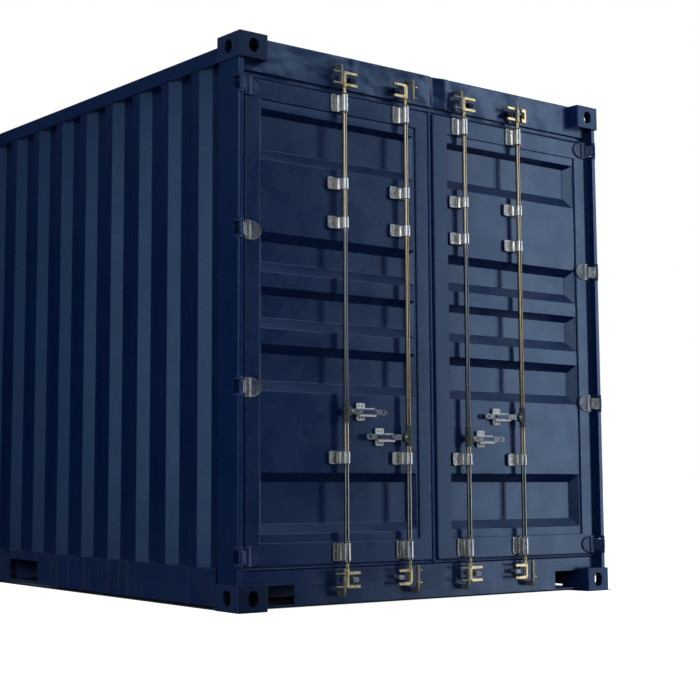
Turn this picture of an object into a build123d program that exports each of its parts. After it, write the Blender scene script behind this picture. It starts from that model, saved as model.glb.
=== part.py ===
from build123d import *
import math
import os

os.makedirs("parts", exist_ok=True)

# 20 ft dry freight container, 8 ft 6 in high. X across, Y along, Z up.
# The double doors are at -Y, the blind front wall at +Y, the origin is at the
# middle of the footprint, on the ground. All lengths are millimetres.
WIDTH, LENGTH, HEIGHT = 2438.0, 6058.0, 2591.0
XO = WIDTH / 2
YD = -LENGTH / 2                      # face of the door-end corner castings
YF = LENGTH / 2                       # face of the front-end corner castings

# corner castings
CAST_X, CAST_Y, CAST_Z = 162.0, 178.0, 118.0
CAST_WALL, CAST_INNER = 28.0, 15.0    # pierced walls, walls towards the frame
LOCK_X, LOCK_Y = 89.5, 100.0          # centre of the lock aperture behind the outer faces

# frame
POST_INSET = 6.0                      # post side face behind the casting face
POST_FRONT = 14.0                     # post front face behind the casting face
POST_BACK = 165.0
POST_T = 6.0
JAMB_X = 1170.0                       # half of the clear door width
JAMB_B = 52.0
RAIL_X = 1216.0                       # outer face of the side rails
TOP_RAIL_Z0, TOP_RAIL_Z1, TOP_RAIL_W, TOP_RAIL_T = 2473.0, 2547.0, 60.0, 4.0
BOT_RAIL_Z0, BOT_RAIL_Z1, BOT_RAIL_W, BOT_RAIL_T = 17.0, 181.0, 48.0, 5.0
HEADER_B, SILL_B = 52.0, 55.0         # faces behind the casting faces
HEADER_Z0, HEADER_Z1 = 2426.0, 2589.0
REBATE_B, REBATE_Z = 66.0, 2404.0     # flange behind the door seal, below the header face
SILL_Z0, SILL_Z1 = 13.0, 173.0
SLOT_X, SLOT_Z0, SLOT_Z1 = 866.0, 20.0, 106.0

# forklift pockets
POCKET_Y, POCKET_W = 1089.0, 310.0    # centre from the middle, width
POCKET_Z0, POCKET_Z1 = 27.0, 137.0

# floor
FLOOR_Z0, FLOOR_Z1 = 143.0, 171.0

# walls
SIDE_X = 1211.0                       # outer face of the side wall ribs
SIDE_T, SIDE_DEPTH = 2.0, 36.0
SIDE_PITCH, SIDE_FLAT, SIDE_SLOPE, SIDE_RIBS = 254.1, 64.0, 61.0, 22
SIDE_Y0 = 267.0                       # first fold behind the door-end face
FRONT_T, FRONT_DEPTH = 2.0, 45.0
ROOF_T, ROOF_DEPTH = 2.0, 18.0
ROOF_RIDGES, ROOF_INSET = 26, 100.0   # pressed ridges, distance of their ends from the edge

# doors
DOOR_B, DOOR_T = 45.0, 50.0           # outer face behind the casting face, thickness
DOOR_X0, DOOR_X1 = 1152.0, 20.0       # hinge edge, meeting edge
DOOR_Z0, DOOR_Z1 = 192.0, 2394.0
STILES = {"left": (84.0, 81.0), "right": (81.0, 96.0)}   # stile widths at the hinge edge, at the meeting edge
PANEL_Z0, PANEL_Z1 = 296.0, 2303.0
PANEL_T, PANEL_DEPTH = 2.0, 36.0
PANEL_B = 52.0                        # outer flats of the door panel
# grooves pressed into the door panel: bottom edge, top edge, fold height
GROOVES = [(334.0, 607.0, 42.0), (972.0, 1183.0, 43.0), (1255.0, 1443.0, 42.0),
           (1512.0, 1693.0, 44.0), (2030.0, 2262.0, 38.0)]

# hinges
HINGE_X, HINGE_B = 1197.0, 15.0
HINGE_Z = [240.0, 983.0, 1690.0, 2355.0]
KNUCKLE_R, KNUCKLE_H, LUG_H, PIN_R = 11.5, 56.0, 16.0, 7.0
HINGE_H = KNUCKLE_H + 2 * LUG_H + 2   # 90 over both lugs

# locking bars
BAR_B, BAR_R = 19.0, 12.0
BARS = [(-585.0, 1, 893.0), (-192.0, -1, 777.0), (212.0, 1, 779.0), (602.0, -1, 893.0)]
BAR_Z0, BAR_Z1 = 196.0, 2402.0
GUIDE_Z = [(205.0, 289.0), (648.0, 707.0), (1748.0, 1805.0), (1934.0, 1991.0), (2309.0, 2393.0)]
HUB_R, HUB_H = 15.5, 100.0
HANDLE_LEN, HANDLE_H, HANDLE_T = 262.0, 26.0, 7.0
CAM_TOP_Z = (2434.0, 2505.0)          # underside of the lower, top of the upper prong
CAM_BOT_Z = (82.0, 157.0)


def y_of(b):
    return YD + b


def box(x0, x1, y0, y1, z0, z1):
    return Pos((x0 + x1) / 2, (y0 + y1) / 2, (z0 + z1) / 2) * Box(
        abs(x1 - x0), abs(y1 - y0), abs(z1 - z0))


def bbox(x0, x1, b0, b1, z0, z1):
    return box(min(x0, x1), max(x0, x1), y_of(b0), y_of(b1), z0, z1)


def cyl(x, b, z0, z1, r):
    return Pos(x, y_of(b), (z0 + z1) / 2) * Cylinder(r, z1 - z0)


def prism_z(points, z0, z1):
    """A plan outline extruded upwards."""
    face = make_face(Polyline(*[(p[0], p[1]) for p in points], close=True))
    return Pos(0, 0, z0) * extrude(face, z1 - z0)


def prism_x(points, x0, x1):
    """An outline in (y, z) extruded along X."""
    face = make_face(Polyline(*[(x0, p[0], p[1]) for p in points], close=True))
    return extrude(face, x1 - x0, dir=(1, 0, 0))


def prism_y(points, y0, y1):
    """An outline in (x, z) extruded along Y."""
    face = make_face(Polyline(*[(p[0], y0, p[1]) for p in points], close=True))
    return extrude(face, y1 - y0, dir=(0, 1, 0))


def group(items):
    out = []
    for it in items:
        out.extend(it.solids())
    return Compound(children=[Solid(s.wrapped) for s in out]) if len(out) > 1 else out[0]


def write(name, items):
    shape = group(items if isinstance(items, (list, tuple)) else [items])
    export_step(shape, f"parts/{name}.step")


def mirror_x(shape):
    return mirror(shape, about=Plane.YZ)


def mirror_y(shape):
    return mirror(shape, about=Plane.XZ)


# ---------------------------------------------------------------- castings
def casting(top):
    """Corner casting for the left door-end corner, hollow, pierced on the end,
    the side and the outer top or bottom face."""
    z0 = HEIGHT - CAST_Z if top else 0.0
    z1 = z0 + CAST_Z
    body = box(-XO, -XO + CAST_X, YD, YD + CAST_Y, z0, z1)
    body = fillet(body.edges().filter_by(Axis.Z), 7.0)
    zc = (z0 + z1) / 2
    zi0 = z0 + (CAST_INNER if top else CAST_WALL)
    zi1 = z1 - (CAST_WALL if top else CAST_INNER)
    body -= box(-XO + CAST_WALL, -XO + CAST_X - CAST_INNER,
                YD + CAST_WALL, YD + CAST_Y - CAST_INNER, zi0, zi1)
    # lock aperture in the top or bottom face, long along Y
    yc, xc = YD + CAST_Y / 2, -XO + CAST_X / 2
    lx, ly = -XO + LOCK_X, YD + LOCK_Y
    slot = extrude(Plane(origin=(lx, ly, z0 - 1), x_dir=(0, 1, 0), z_dir=(0, 0, 1))
                   * SlotOverall(124.5, 63.5), CAST_Z / 2 + 1)
    slot_top = extrude(Plane(origin=(lx, ly, zc), x_dir=(0, 1, 0), z_dir=(0, 0, 1))
                       * SlotOverall(124.5, 63.5), CAST_Z / 2 + 1)
    body -= slot_top if top else slot
    # end aperture and side aperture
    high = 66.0 if top else 72.0
    wide = 56.0
    end = extrude(Plane(origin=(xc, YD - 1, zc), x_dir=(0, 0, 1), z_dir=(0, 1, 0))
                  * SlotOverall(high, wide), CAST_WALL + 3)
    side = extrude(Plane(origin=(-XO - 1, yc, zc), x_dir=(0, 0, 1), z_dir=(1, 0, 0))
                   * SlotOverall(high, wide), CAST_WALL + 3)
    body -= end
    body -= side
    return body


for is_top, name in ((True, "corner_castings_top"), (False, "corner_castings_bottom")):
    c = casting(is_top)
    write(name, [c, mirror_x(c), mirror_y(c), mirror_y(mirror_x(c))])


# ---------------------------------------------------------------- door-end posts
def hinge_notch(z):
    """Room cut out of the post corner for one hinge."""
    h = HINGE_H / 2
    return bbox(-XO - 20, -1180.0, -20, 51.0, z - h, z + h)


def door_post():
    xs = -XO + POST_INSET
    outer = [(xs, POST_FRONT), (-1185, POST_FRONT), (-1185, JAMB_B), (-JAMB_X, JAMB_B),
             (-JAMB_X, POST_BACK), (xs, POST_BACK)]
    inner = [(xs + POST_T, POST_FRONT + POST_T), (-1191, POST_FRONT + POST_T),
             (-1191, JAMB_B + 8), (-JAMB_X - 10, JAMB_B + 8), (-JAMB_X - 10, POST_BACK - 8),
             (xs + POST_T, POST_BACK - 8)]
    z0, z1 = CAST_Z, HEIGHT - CAST_Z
    body = prism_z([(x, y_of(b)) for x, b in outer], z0, z1)
    front_edge = body.edges().filter_by(Axis.Z).sort_by(lambda e: e.center().X + e.center().Y)[0]
    body = fillet(front_edge, 7.0)
    body -= prism_z([(x, y_of(b)) for x, b in inner], z0, z1)
    for z in HINGE_Z:
        body -= hinge_notch(z)
        # the post is closed behind the notch
        h = HINGE_H / 2 + 6
        body += bbox(xs + 1, -1184.0, 51.0, 55.0, z - h, z + h)
    return body


p = door_post()
write("corner_posts_door", [p, mirror_x(p)])


def hinge_lugs(z):
    """Two plates welded into the post notch, with the pin between them."""
    xs = -XO + POST_INSET
    out = []
    for lo in (z - HINGE_H / 2, z + HINGE_H / 2 - LUG_H):
        plate = prism_z([(xs, y_of(51)), (-1180, y_of(51)), (-1180, y_of(42)),
                         (-1186.5, y_of(15)), (-1207.5, y_of(15)), (xs, y_of(26))], lo, lo + LUG_H)
        plate += cyl(-HINGE_X, HINGE_B, lo, lo + LUG_H, KNUCKLE_R - 0.8)
        plate -= cyl(-HINGE_X, HINGE_B, lo - 1, lo + LUG_H + 1, PIN_R)
        out.append(plate)
    return out


lugs, pins = [], []
for z in HINGE_Z:
    for s in hinge_lugs(z):
        lugs += [s, mirror_x(s)]
    pin = cyl(-HINGE_X, HINGE_B, z - HINGE_H / 2, z + HINGE_H / 2, PIN_R)
    pins += [pin, mirror_x(pin)]
write("hinge_lugs", lugs)
write("hinge_pins", pins)


# ---------------------------------------------------------------- front-end posts
def front_post():
    xs = -XO + POST_INSET
    pts = [(xs, YF - 12), (-1100, YF - 12), (-1100, YF - 18), (xs + 6, YF - 18),
           (xs + 6, YF - 160), (xs, YF - 160)]
    return prism_z(pts, CAST_Z, HEIGHT - CAST_Z)


fp = front_post()
write("corner_posts_front", [fp, mirror_x(fp)])


# ---------------------------------------------------------------- side rails
def tube_y(x0, x1, z0, z1, t, y0, y1):
    return box(x0, x1, y0, y1, z0, z1) - box(x0 + t, x1 - t, y0 - 1, y1 + 1, z0 + t, z1 - t)


rail = tube_y(-RAIL_X, -RAIL_X + TOP_RAIL_W, TOP_RAIL_Z0, TOP_RAIL_Z1, TOP_RAIL_T,
              YD + CAST_Y, YF - CAST_Y)
write("top_side_rails", [rail, mirror_x(rail)])


def bottom_rail(y0, y1):
    """Channel open towards the middle, between two stations along the side."""
    t = BOT_RAIL_T
    pts = [(-RAIL_X, BOT_RAIL_Z0), (-RAIL_X + BOT_RAIL_W, BOT_RAIL_Z0),
           (-RAIL_X + BOT_RAIL_W, BOT_RAIL_Z0 + t), (-RAIL_X + t, BOT_RAIL_Z0 + t),
           (-RAIL_X + t, BOT_RAIL_Z1 - t), (-RAIL_X + BOT_RAIL_W, BOT_RAIL_Z1 - t),
           (-RAIL_X + BOT_RAIL_W, BOT_RAIL_Z1), (-RAIL_X, BOT_RAIL_Z1)]
    return prism_y(pts, y0, y1)


def rail_over_pocket(y0, y1):
    """What is left of the rail above a forklift pocket."""
    t = BOT_RAIL_T
    pts = [(-RAIL_X, POCKET_Z1), (-RAIL_X + t, POCKET_Z1), (-RAIL_X + t, BOT_RAIL_Z1 - t),
           (-RAIL_X + BOT_RAIL_W, BOT_RAIL_Z1 - t), (-RAIL_X + BOT_RAIL_W, BOT_RAIL_Z1),
           (-RAIL_X, BOT_RAIL_Z1)]
    return prism_y(pts, y0, y1)


def rail_strap(y0, y1):
    """Flat strap that closes the rail below a forklift pocket."""
    return box(-RAIL_X, -RAIL_X + BOT_RAIL_W, y0, y1, BOT_RAIL_Z0, POCKET_Z0)


half = POCKET_W / 2
stations = [YD + CAST_Y, -POCKET_Y - half, -POCKET_Y + half, POCKET_Y - half, POCKET_Y + half, YF - CAST_Y]
lengths = [bottom_rail(a, b) for a, b in (stations[0:2], stations[2:4], stations[4:6])]
overs = [rail_over_pocket(a, b) for a, b in (stations[1:3], stations[3:5])]
straps = [rail_strap(a, b) for a, b in (stations[1:3], stations[3:5])]
write("bottom_side_rails", lengths + [mirror_x(s) for s in lengths])
write("pocket_rail_lintels", overs + [mirror_x(s) for s in overs])
write("pocket_straps", straps + [mirror_x(s) for s in straps])

# ---------------------------------------------------------------- header and sill
# header: pressed section with a rebate for the door seal, closed by a top plate
hx = JAMB_X
t = 4.0
hdr = prism_x([(y_of(b), z) for b, z in (
    (HEADER_B, HEADER_Z0), (HEADER_B, HEADER_Z1), (178, HEADER_Z1), (178, TOP_RAIL_Z1), (178 - t, TOP_RAIL_Z1),
    (178 - t, HEADER_Z1 - t), (HEADER_B + t, HEADER_Z1 - t), (HEADER_B + t, HEADER_Z0 + t),
    (REBATE_B + t, HEADER_Z0 + t), (REBATE_B + t, REBATE_Z + t), (165 - t, REBATE_Z + t), (165 - t, REBATE_Z + 30),
    (165, REBATE_Z + 30), (165, REBATE_Z), (REBATE_B, REBATE_Z), (REBATE_B, HEADER_Z0))], -hx, hx)
# the header stops at the castings above the posts
hdr -= box(-hx - 1, -XO + CAST_X, YD, YD + CAST_Y, HEIGHT - CAST_Z, HEIGHT)
hdr -= box(XO - CAST_X, hx + 1, YD, YD + CAST_Y, HEIGHT - CAST_Z, HEIGHT)
write("door_header", hdr)

sill = prism_x([(y_of(SILL_B), SILL_Z0), (y_of(SILL_B), SILL_Z1), (y_of(165), SILL_Z1),
                (y_of(165), SILL_Z1 - 5), (y_of(SILL_B + 5), SILL_Z1 - 5),
                (y_of(SILL_B + 5), SILL_Z0 + 5), (y_of(165), SILL_Z0 + 5), (y_of(165), SILL_Z0)],
               -hx, hx)
sill -= box(-hx - 1, -XO + CAST_X, YD, YD + CAST_Y, 0, CAST_Z)
sill -= box(XO - CAST_X, hx + 1, YD, YD + CAST_Y, 0, CAST_Z)
for s in (-1, 1):
    sill -= box(s * SLOT_X, s * (XO - CAST_X + 1), y_of(SILL_B - 1), y_of(SILL_B + 6), SLOT_Z0, SLOT_Z1)
write("door_sill", sill)

# ---------------------------------------------------------------- front-end rails
write("front_top_rail", tube := (
    box(-(XO - CAST_X), XO - CAST_X, YF - 90, YF - 30, 2473, 2547)
    - box(-(XO - CAST_X) - 1, XO - CAST_X + 1, YF - 86, YF - 34, 2477, 2543)))
write("front_bottom_rail", (
    box(-(XO - CAST_X), XO - CAST_X, YF - 90, YF - 20, 17, 160)
    - box(-(XO - CAST_X) - 1, XO - CAST_X + 1, YF - 90 - 1, YF - 25, 22, 155)))


# ---------------------------------------------------------------- corrugated sheets
def sheet_outline(points, t):
    """Closed outline of a folded sheet: the outer line and its parallel at t,
    mitred at the folds. Points go along the sheet, t is to its left."""
    def shift(a, b):
        dx, dy = b[0] - a[0], b[1] - a[1]
        n = math.hypot(dx, dy)
        return (-dy / n * t, dx / n * t)
    inner = []
    for i, p0 in enumerate(points):
        if i == 0:
            s = shift(points[0], points[1])
            inner.append((p0[0] + s[0], p0[1] + s[1]))
        elif i == len(points) - 1:
            s = shift(points[-2], points[-1])
            inner.append((p0[0] + s[0], p0[1] + s[1]))
        else:
            s1, s2 = shift(points[i - 1], p0), shift(p0, points[i + 1])
            k = 1 + (s1[0] * s2[0] + s1[1] * s2[1]) / (t * t)
            inner.append((p0[0] + (s1[0] + s2[0]) / k, p0[1] + (s1[1] + s2[1]) / k))
    return points + inner[::-1]


def side_wall():
    pts = [(-SIDE_X + SIDE_DEPTH, YD + POST_BACK)]
    for i in range(SIDE_RIBS):
        y = YD + SIDE_Y0 + i * SIDE_PITCH
        pts += [(-SIDE_X + SIDE_DEPTH, y), (-SIDE_X, y + SIDE_SLOPE),
                (-SIDE_X, y + SIDE_SLOPE + SIDE_FLAT), (-SIDE_X + SIDE_DEPTH, y + 2 * SIDE_SLOPE + SIDE_FLAT)]
    pts.append((-SIDE_X + SIDE_DEPTH, YF - 160.0))
    # going towards +Y with the outside at -X, the thickness goes to +X
    return prism_z(sheet_outline(pts, -SIDE_T), BOT_RAIL_Z1, TOP_RAIL_Z0)


sw = side_wall()
write("side_wall_left", sw)
write("side_wall_right", mirror_x(sw))


def front_wall():
    x0 = -1207.0
    n, pitch, flat, slope = 9, 250.0, 107.0, 18.0
    start = -(n * pitch - 107.0) / 2
    yo, yi = YF - 18.0 - 2.0, YF - 18.0 - 2.0 - FRONT_DEPTH
    pts = [(x0 + 8, yi)]
    for i in range(n):
        x = start + i * pitch
        pts += [(x, yi), (x + slope, yo), (x + slope + flat, yo), (x + 2 * slope + flat, yi)]
    pts.append((-x0 - 8, yi))
    return prism_z(sheet_outline(pts, -FRONT_T), 160.0, 2473.0)


write("front_wall", front_wall())


def roof_panel():
    """Flat sheet on the rails with pressed ridges across, their ends sloping down."""
    y0, y1 = YD + CAST_Y, YF - 32.0
    z = TOP_RAIL_Z1
    body = box(-1195.0, 1195.0, y0, y1, z, z + ROOF_T)
    first, last = y0 + 110.0, YF - CAST_Y - 90.0
    xe = 1195.0 - ROOF_INSET

    def ridge(y, grow, base):
        foot = [(-xe - grow, y - 62 - grow), (xe + grow, y - 62 - grow), (xe + grow, y + 62 + grow), (-xe - grow, y + 62 + grow)]
        crown = [(-xe + 30 - grow, y - 48 - grow), (xe - 30 + grow, y - 48 - grow), (xe - 30 + grow, y + 48 + grow),
                 (-xe + 30 - grow, y + 48 + grow)]
        f0 = make_face(Polyline(*[(p[0], p[1], base) for p in foot], close=True))
        f1 = make_face(Polyline(*[(p[0], p[1], base + ROOF_DEPTH) for p in crown], close=True))
        return loft([f0, f1], ruled=True)

    rows = [first + (last - first) * i / (ROOF_RIDGES - 1) for i in range(ROOF_RIDGES)]
    body += [ridge(y, 1.0, z + ROOF_T) for y in rows]
    body -= [ridge(y, 0.0, z) for y in rows]
    # the roof is notched round the front-end castings
    for s in (-1, 1):
        body -= box(s * (XO - CAST_X - 1), s * XO, YF - CAST_Y - 1, YF, HEIGHT - CAST_Z, HEIGHT)
    return body


write("roof_panel", roof_panel())

# ---------------------------------------------------------------- floor
boards = []
n_boards = 8
bx0, bx1 = -1167.0, 1167.0
step = (bx1 - bx0) / n_boards
for i in range(n_boards):
    boards.append(box(bx0 + i * step + (1 if i else 0), bx0 + (i + 1) * step, y_of(166), YF - 100, FLOOR_Z0, FLOOR_Z1))
write("floor_boards", boards)

members = []
ys = []
y = YD + 420.0
while y < YF - 300:
    if all(abs(y - s * POCKET_Y) > POCKET_W / 2 + 90 for s in (-1, 1)):
        ys.append(y)
    y += 290.0
for y in ys:
    members.append(prism_x([(y - 22, 21), (y + 22, 21), (y + 22, 25), (y - 18, 25), (y - 18, 139),
                            (y + 22, 139), (y + 22, 143), (y - 22, 143)], -1211 + 44, 1211 - 44))
write("cross_members", members)

tops, sides = [], []
for s in (-1, 1):
    yc, h = s * POCKET_Y, POCKET_W / 2
    tops.append(box(-1167, 1167, yc - h - 5, yc + h + 5, POCKET_Z1, POCKET_Z1 + 6))
    for e in (-1, 1):
        a, b = sorted((yc + e * h, yc + e * (h + 5)))
        sides.append(box(-1167, 1167, a, b, POCKET_Z0, POCKET_Z1))
write("forklift_pocket_tops", tops)
write("forklift_pocket_sides", sides)


# ---------------------------------------------------------------- doors
def door_frame(stile_out, stile_in):
    """A leaf on the left side: two stiles and two rails of box section."""
    x0, x1 = -DOOR_X0, -DOOR_X1
    b0, b1 = DOOR_B, DOOR_B + DOOR_T
    out = bbox(x0, x1, b0, b1, DOOR_Z0, DOOR_Z1)
    out = fillet(out.edges().filter_by(Axis.Z), 8.0)
    out -= bbox(x0 + stile_out, x1 - stile_in, b0 - 1, b1 + 1, PANEL_Z0, PANEL_Z1)
    return out


def door_panel(stile_out, stile_in):
    """Pressed sheet with five grooves whose ends slope up to the flat rim."""
    x0, x1 = -DOOR_X0 + stile_out, -DOOR_X1 - stile_in
    yb = y_of(PANEL_B)
    body = box(x0, x1, yb, yb + PANEL_T, PANEL_Z0, PANEL_Z1)
    rim = 10.0
    for lo, hi, fold in GROOVES:
        def hull(grow, depth, base):
            bottom = [(x0 + rim - grow, lo - grow), (x1 - rim + grow, lo - grow),
                      (x1 - rim + grow, hi + grow), (x0 + rim - grow, hi + grow)]
            k = depth / PANEL_DEPTH
            top = [(x0 + rim - grow + 40 * k, lo - grow + fold * k), (x1 - rim + grow - 40 * k, lo - grow + fold * k),
                   (x1 - rim + grow - 40 * k, hi + grow - fold * k), (x0 + rim - grow + 40 * k, hi + grow - fold * k)]
            f0 = make_face(Polyline(*[(p[0], base, p[1]) for p in bottom], close=True))
            f1 = make_face(Polyline(*[(p[0], base + depth, p[1]) for p in top], close=True))
            return loft([f0, f1], ruled=True)
        body += hull(1.5, PANEL_DEPTH, yb + PANEL_T)
        body -= hull(0.0, PANEL_DEPTH, yb)
    return body


def door_gasket(meeting, side):
    """Rubber seal around a leaf; the right one also covers the gap between the leaves."""
    b0, b1 = DOOR_B + 5, DOOR_B + 16
    x0, x1 = sorted((side * (DOOR_X0 + 13.0), meeting))
    ring = bbox(x0, x1, b0, b1, DOOR_Z0 - 6, DOOR_Z1 + 13)
    ring -= bbox(side * DOOR_X0, side * DOOR_X1, b0 - 1, b1 + 1, DOOR_Z0, DOOR_Z1)
    return ring


def hinge_leaf(z):
    """Knuckle on the pin axis and the cranked D-shaped leaf on the door face."""
    h = KNUCKLE_H / 2
    ax, ab = -HINGE_X, HINGE_B
    knuckle = cyl(ax, ab, z - h, z + h, KNUCKLE_R)
    crank = prism_z([(ax - 8, y_of(ab)), (ax + 9, y_of(ab)), (ax + 9, y_of(ab + 18)), (ax + 14, y_of(ab + 24)),
                     (ax + 60, y_of(ab + 24)), (ax + 60, y_of(ab + 30)), (ax, y_of(ab + 30)),
                     (ax - 8, y_of(ab + 22))], z - h, z + h)
    leaf = Pos(-DOOR_X0, y_of(DOOR_B - 6), z) * (
        extrude(Plane(origin=(0, 0, 0), x_dir=(1, 0, 0), z_dir=(0, 1, 0)) * Ellipse(84, 46), 6.0))
    leaf &= bbox(-DOOR_X0 + 2, -DOOR_X0 + 120, DOOR_B - 8, DOOR_B, z - 60, z + 60)
    out = knuckle + crank + leaf
    out -= cyl(ax, ab, z - h - 1, z + h + 1, PIN_R + 0.3)
    return out


def guide(xb, z0, z1, tall):
    """Bar guide: a base plate beside the bar and a clip round it."""
    out_w = 64.0 if tall else 87.0
    plate = bbox(xb - out_w, xb + 34, DOOR_B - 5, DOOR_B, z0, z1)
    h = (z1 - z0) / 2 - (6 if tall else 4)
    zc = (z0 + z1) / 2
    ring = cyl(xb, BAR_B, zc - h, zc + h, BAR_R + 4.3)
    block = bbox(xb - BAR_R - 4.3, xb + BAR_R + 4.3, BAR_B, DOOR_B - 4, zc - h, zc + h)
    out = plate + ring + block
    out -= cyl(xb, BAR_B, z0 - 5, z1 + 5, BAR_R + 0.7)
    return out


def catch(xb, side, z):
    """Handle catch: a tabbed base plate with the ledge that carries the handle."""
    lo, hi = (85.0, 190.0)
    xa, xc = sorted((xb + side * lo, xb + side * hi))
    plate = bbox(xa, xa + 52, DOOR_B - 3, DOOR_B, z - 41, z + 41)
    plate += bbox(xa, xc, DOOR_B - 3, DOOR_B, z - 15, z + 15)
    ledge = bbox(xa, xc, 20, DOOR_B - 2, z - HANDLE_H / 2 - 10, z - HANDLE_H / 2 - 5.5)
    return plate + ledge


def bar_rod(xb):
    return cyl(xb, BAR_B, BAR_Z0, BAR_Z1, BAR_R)


def cam_fork(xb, side, z0, z1, upper):
    """Fork on the bar end: a neck, a web on the far side of the bar and two prongs."""
    def bar(u0, u1, b0, b1, za, zb):
        x0, x1 = sorted((xb + side * u0, xb + side * u1))
        return bbox(x0, x1, b0, b1, za, zb)
    out = bar(-10, 2, 10, 22, z0, z1)
    for a, b in ((z0, z0 + 14), (z1 - 14, z1)):
        out += bar(-10, 76, 10, 24, a, b)
    if upper:
        out += cyl(xb, BAR_B, BAR_Z1, z0 + 8, 8.5)
    else:
        out += cyl(xb, BAR_B, z1 - 8, BAR_Z0, 8.5)
    return out


def cam_blade(xb, z0, z1):
    """Upright plate in front of a cam, carried by its web."""
    return bbox(xb - 15, xb - 5, 2, 11, z0 - 2, z1 + 30) + bbox(xb - 12, xb + 6, 9, 12, z0 + 20, z1 - 20)


def keeper(xb, lo_x, hi_x, depth, z0, z1, upper, face_b):
    """Keeper beside a cam: an upright blade on a foot, with two stub arms on its far side."""
    lo, hi = (z0 - 2, z1 + 32) if upper else (z0 - 37, z1 + 17)
    out = bbox(xb + lo_x, xb + hi_x, 2, depth, lo, hi)
    out += bbox(xb + lo_x, xb + hi_x, 2, face_b, hi - 22, hi) if upper else bbox(xb + lo_x, xb + hi_x, 2, face_b, lo, lo + 22)
    for zz in (z0 + 8, z1 - 8):
        x0, x1 = (xb - 76, xb + lo_x + 1) if lo_x < 0 else (xb + hi_x - 1, xb + 70)
        out += Pos((x0 + x1) / 2, y_of(10), zz) * Rot(0, 90, 0) * Cylinder(5.5, x1 - x0)
    return out


def keeper_bracket(xb, z0, z1, face_b):
    """Keeper beside the last upper cam: two blocks on an upright, carried by a foot."""
    out = bbox(xb + 48, xb + 62, 20, 28, z0, z1)
    for a, b in ((z0, z0 + 18), (z1 - 18, z1)):
        out += bbox(xb + 30, xb + 62, 10, 24, a, b)
    zc = (z0 + z1) / 2
    return out + bbox(xb + 48, xb + 62, 26, face_b, zc - 12, zc + 12)


def keeper_boss(xb, side, z0, z1, face_b):
    x0, x1 = sorted((xb + side * 36, xb + side * 72))
    zc = (z0 + z1) / 2
    return bbox(x0, x1, 22, face_b, zc - 14, zc + 14)


def hub(xb, side, z):
    """Two-part sleeve that carries the handle pin; on the inner bars it sits a little
    above the pin."""
    zs = z + (9.0 if z < 800 else 0.0)
    out = cyl(xb, BAR_B, zs - HUB_H / 2, zs + HUB_H / 2, HUB_R)
    x0, x1 = sorted((xb + side * 8, xb + side * 34))
    out += bbox(x0, x1, 8, 13, z - 20, z + 20)
    out += bbox(x0, x1, 25, 30, z - 20, z + 20)
    out -= cyl(xb, BAR_B, z - HUB_H, z + HUB_H, BAR_R)
    out -= Pos(xb + side * 27, y_of(20), z) * Rot(90, 0, 0) * Cylinder(5.0, 60)
    return out


def handle(xb, side, z):
    """Flat bar from the hub pin to the catch, set back towards the door."""
    h = HANDLE_H / 2
    pts = [(21, 15.5), (70, 15.5), (110, 24), (262, 24), (262, 24 + HANDLE_T), (106, 24 + HANDLE_T),
           (66, 15.5 + HANDLE_T), (21, 15.5 + HANDLE_T)]
    body = prism_z([(xb + side * u, y_of(b)) for u, b in pts], z - h, z + h)
    body += Pos(xb + side * 27, y_of(19), z) * Rot(90, 0, 0) * Cylinder(4.6, 22)
    body -= Pos(xb + side * 238, y_of(27), z) * Rot(90, 0, 0) * Cylinder(6.0, 20)
    return body


leaves = [hinge_leaf(z) for z in HINGE_Z]
write("door_left_frame", door_frame(*STILES["left"]))
write("door_right_frame", mirror_x(door_frame(*STILES["right"])))
write("door_left_panel", door_panel(*STILES["left"]))
write("door_right_panel", mirror_x(door_panel(*STILES["right"])))
write("door_left_gasket", door_gasket(-15.0, -1))
write("door_right_gasket", door_gasket(-8.5, 1))
write("hinge_leaves_left", leaves)
write("hinge_leaves_right", [mirror_x(s) for s in leaves])

for k0, word in ((0, "left"), (2, "right")):
    guides, catches = [], []
    for xb, side, hz in BARS[k0:k0 + 2]:
        for i, (z0, z1) in enumerate(GUIDE_Z):
            guides.append(guide(xb, z0, z1, i in (0, 4)))
        catches.append(catch(xb, side, hz))
    write(f"bar_guides_{word}", guides)
    write(f"handle_catches_{word}", catches)

keep_top, keep_bot, boss_all = [], [], []
for i, (xb, side, hz) in enumerate(BARS, start=1):
    write(f"locking_bar_{i}", bar_rod(xb))
    top = cam_fork(xb, side, *CAM_TOP_Z, True)
    if i == 4:
        top += cam_blade(xb, *CAM_TOP_Z)
    write(f"bar_cams_{i}", [top, cam_fork(xb, side, *CAM_BOT_Z, False)])
    write(f"handle_hub_{i}", hub(xb, side, hz))
    write(f"handle_{i}", handle(xb, side, hz))
    near, far = (-30, -20, 20), (38, 50, 18)
    place = near if side > 0 else far
    keep_top.append(keeper_bracket(xb, *CAM_TOP_Z, HEADER_B) if i == 4 else
                    keeper(xb, *place, *CAM_TOP_Z, True, HEADER_B))
    keep_bot.append(keeper(xb, *place, *CAM_BOT_Z, False, SILL_B))
    boss_all.append(keeper_boss(xb, side, *CAM_TOP_Z, HEADER_B))
    boss_all.append(keeper_boss(xb, side, *CAM_BOT_Z, SILL_B))
write("cam_keepers_top", keep_top)
write("cam_keepers_bottom", keep_bot)
write("keeper_blocks", boss_all)
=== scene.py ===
import math

import bmesh
import bpy
from mathutils import Matrix, Vector
from mathutils.geometry import tessellate_polygon

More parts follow.
